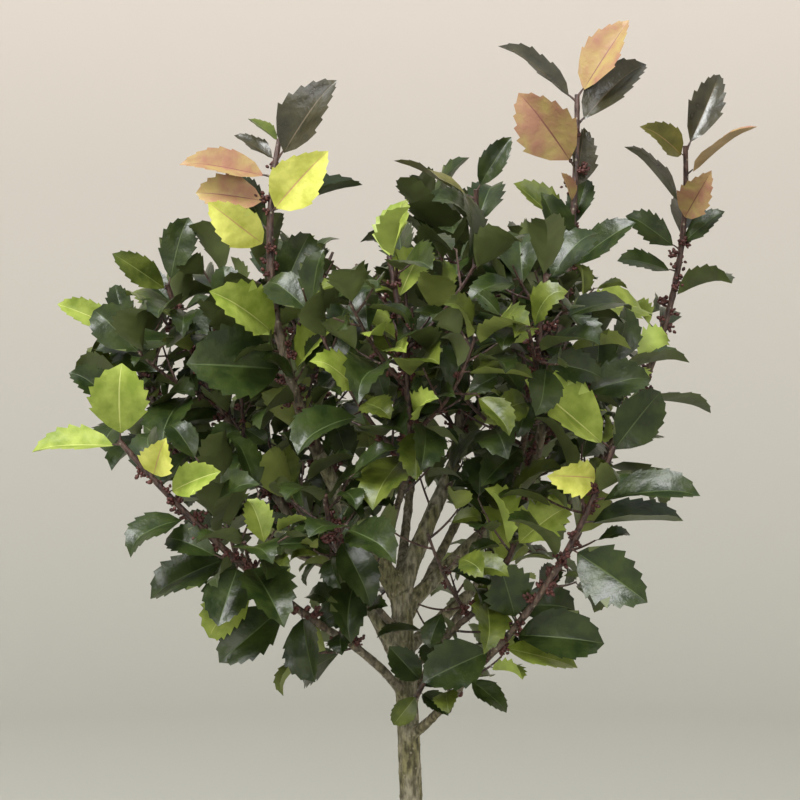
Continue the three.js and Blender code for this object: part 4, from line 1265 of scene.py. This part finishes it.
tint_random = np.random.default_rng(SEED)
by_tint = {tint: [] for tint in TINTS}
for leaves in shown_leaves:
    for leaf in leaves:
        by_tint[leaf["tint"]].append(leaf)
leafy = [(twig, leaves) for twig, leaves in sprays if leaves]
middles = [np.mean([leaf["foot"] + leaf["along"] * 20 for leaf in leaves], axis=0) for _, leaves in leafy]
flushed = {int(np.linalg.norm(np.array(middles) - flush, axis=1).argmin()) for flush in FLUSHES}
for index, (twig, leaves) in enumerate(leafy):
    draw = tint_random.uniform()
    young = "lime" if draw < YOUNG_SHARE["lime"] else "mid" if draw < sum(YOUNG_SHARE.values()) else "dark"
    tip = twig["line"][-1]
    if young == "lime" and from_axis(tip) < LIME_FROM * crown_reach(tip[2]):
        young = "mid"
    if index in flushed:
        young = "lime"
    for leaf in leaves:
        tint = young if leaf["tipward"] > YOUNG_FROM else "mid" if young == "lime" else "dark"
        by_tint[tint].append(dict(leaf, fresh=tint == "lime"))
foliage_nodes = [f"foliage_{mass['name']}" for mass in MASSES]
for tint, leaves in by_tint.items():
    shade, lit, roughness, shine, rib, underneath = TINTS[tint]
    finishes = [waxy(f"leaf_{tint}", shade, lit, roughness, shine)]
    for part, colour in (("midrib", rib), ("underside", underneath)):
        paler = tuple(1.35 * value for value in colour)
        finishes.append(grained(f"{part}_{tint}", colour, paler, (0.45, 0.6), PUCKER_SCALE, 0.0004))
    for start in range(0, len(leaves), PIECE_LEAVES):
        name = f"leaves_{tint}_{start // PIECE_LEAVES + 1}"
        mesh = leaf_mesh(name, leaves[start : start + PIECE_LEAVES], finishes)
        piece_of(name, mesh, "foliage", *foliage_nodes)

# ---- Stems and twigs -----------------------------------------------------------------------------------
# Young wood in purple-brown bark: every stem, side twig and short shoot, a little swollen at each leaf, and
# the short stalk of every leaf. All of it is one piece of many closed tubes.
TUBE_STEP = 3.5
STEM_SIDES = 10
TWIG_SIDES = 7
STALK_SIDES = 6
STALK_RADIUS = 0.62  # of a leaf of full length
STALK_SHAPE = np.array((1.5, 1.0, 0.85, 0.55))  # from its foot to the blade, of that radius
NODE_SWELL = 0.16  # of the radius, where a leaf stands


def ring_faces(rows, sides, first=0):
    """The four-cornered faces between rows of corners that stand in rings, counted from the first one."""
    faces = []
    for row in range(rows - 1):
        for k in range(sides):
            a, b = first + row * sides + k, first + row * sides + (k + 1) % sides
            faces.append((a, b, b + sides, a + sides))
    return faces


def tube(line, radii, sides):
    """The corners and faces of one closed tube round a line."""
    rings = ring_corners(line, radii, sides)
    faces = ring_faces(len(line), sides)
    faces.append(tuple(range(sides - 1, -1, -1)))
    faces.append(tuple((len(line) - 1) * sides + k for k in range(sides)))
    return rings.reshape(-1, 3), faces


tubes, years = [], []
for twig, _ in sprays:
    places, far = finely(twig["line"], TUBE_STEP)
    radii = np.interp(far / far[-1], np.linspace(0, 1, len(twig["radii"])), twig["radii"])
    node = LEAF["internode"] / 2
    radii = radii * (1 + NODE_SWELL * np.exp(-(((far % node) - node / 2) ** 2) / 2))
    sides = STEM_SIDES if twig["radii"][0] > STEM["tip_radius"] else TWIG_SIDES
    tubes.append(tube(places, radii, sides))
    age = 0.3 * (twig["radii"][0] - 1.3) * (1 - 1.5 * far / far[-1])
    years.append(np.repeat(np.clip(age, 0, 0.4), sides))
for leaf in [leaf for leaves in [row[1] for row in sprays] + shown_leaves for leaf in leaves]:
    share = np.linspace(0, 1, len(STALK_SHAPE))[:, None]
    reach = leaf["length"] * (PETIOLE + 0.02)
    line = leaf["foot"] + leaf["along"] * share * reach
    stalk = tube(line, STALK_RADIUS * STALK_SHAPE * leaf["length"] / LEAF["length"], STALK_SIDES)
    tubes.append(stalk)
    years.append(np.zeros(len(stalk[0])))


def joined(shapes):
    """One set of corners and faces from many closed shapes."""
    starts = np.cumsum([0] + [len(corners) for corners, _ in shapes])
    faces = [
        tuple(corner + int(start) for corner in face)
        for start, (_, rows) in zip(starts, shapes)
        for face in rows
    ]
    return np.concatenate([corners for corners, _ in shapes]), faces


young_wood = joined_mesh("stems_and_twigs", *joined(tubes), bark)
young_wood.set_sharp_from_angle(angle=math.radians(50))
give_age(young_wood, np.concatenate(years))
piece_of("stems_and_twigs", young_wood, "bark", *foliage_nodes)

# ---- Flower buds ---------------------------------------------------------------------------------------
# Tight bunches of small, wine-brown flower buds sit at the feet of the leaves, thickest on last year's wood
# of the leading stems and the low boughs. All of them are one piece of many closed, pointed ovals.
BUD_SIDES = 5
BUD_OUTLINE = ((0.0, 0.0), (0.16, 0.7), (0.5, 1.0), (0.84, 0.6), (1.0, 0.0))  # far, out
BUD_LENGTH = (2.0, 3.6)
BUD_WIDTH = 0.37  # half of it, of the length
SMALL_BUNCH = dict(spacing=4, buds=(5, 10), depth=1.6)  # depth: how far out its outer buds start
LARGE_BUNCH = dict(spacing=10.5, buds=(14, 25), depth=4.2)


def flank_of(way):
    """A side that is square to a direction, as upright as it can be."""
    return square_to(UP if abs(way[2]) < 0.9 else FRONT, way)


def bud(foot, way, length):
    """The corners and faces of one closed bud."""
    flank = flank_of(way)
    other = np.cross(way, flank)
    turn = 2 * np.pi * np.arange(BUD_SIDES) / BUD_SIDES
    ring = np.cos(turn)[:, None] * flank + np.sin(turn)[:, None] * other
    corners = [foot[None]]
    corners += [foot + way * far * length + ring * out * BUD_WIDTH * length for far, out in BUD_OUTLINE[1:-1]]
    corners.append((foot + way * length)[None])
    rings = len(BUD_OUTLINE) - 2
    last = 1 + (rings - 1) * BUD_SIDES
    faces = [(0, 1 + (k + 1) % BUD_SIDES, 1 + k) for k in range(BUD_SIDES)]
    faces += ring_faces(rings, BUD_SIDES, first=1)
    faces += [(last + k, last + (k + 1) % BUD_SIDES, last + BUD_SIDES) for k in range(BUD_SIDES)]
    return np.concatenate(corners), faces


bud_random = np.random.default_rng(SEED + 9)
buds = []


def bunches_on(line, radii, start, end, share, bunch):
    """Bunches of buds in a spiral on a run of wood, from one share of its length to another."""
    length = line_length(line)
    far, turn = length * start, bud_random.uniform(0, 2 * np.pi)
    while far < length * end:
        far += bunch["spacing"] * bud_random.uniform(0.7, 1.5)
        turn += SPIRAL
        if bud_random.uniform() > share or far > length * end:
            continue
        place, direction = along(line, far)
        radius = np.interp(far / length, np.linspace(0, 1, len(radii)), radii)
        flank = flank_of(direction)
        out = flank * math.cos(turn) + np.cross(direction, flank) * math.sin(turn)
        for _ in range(bud_random.integers(*bunch["buds"])):
            way = unit(out + direction * bud_random.uniform(-0.2, 1.0) + bud_random.uniform(-0.8, 0.8, 3))
            depth = bunch["depth"] * bud_random.uniform() ** 1.5
            foot = place + out * (radius * 0.75 + depth) + bud_random.uniform(-1, 1, 3) * (1.2 + 0.4 * depth)
            buds.append(bud(foot, way, bud_random.uniform(*BUD_LENGTH)))


for stem in stems:
    if stem["mass"] != "sprig":
        leads = "lower" in stem["mass"] or "leader" in stem["mass"]
        highest = 0.93 if leads else 0.78
        bunches_on(stem["line"], stem["radii"], 0.0, highest, 0.9, LARGE_BUNCH)
        bunches_on(stem["line"], stem["radii"], 0.0, highest, 0.5, SMALL_BUNCH)
for twigs in side_twigs:
    for twig in twigs:
        bunches_on(twig["line"], twig["radii"], 0.0, 0.7, 0.3, SMALL_BUNCH)
for name in ("lower_right", "lower_left", "left_shoulder", "left_leader", "right_leader"):
    bunches_on(bough_lines[name], BOUGHS[name][3:], 0.45, 1.0, 0.9, LARGE_BUNCH)
bud_skin = grained("bud_skin", (0.03, 0.009, 0.009), (0.13, 0.04, 0.03), (0.5, 0.65), 700, 0.0003)
flower_buds = joined_mesh("flower_buds", *joined(buds), bud_skin)
piece_of("flower_buds", flower_buds, "foliage", *foliage_nodes)
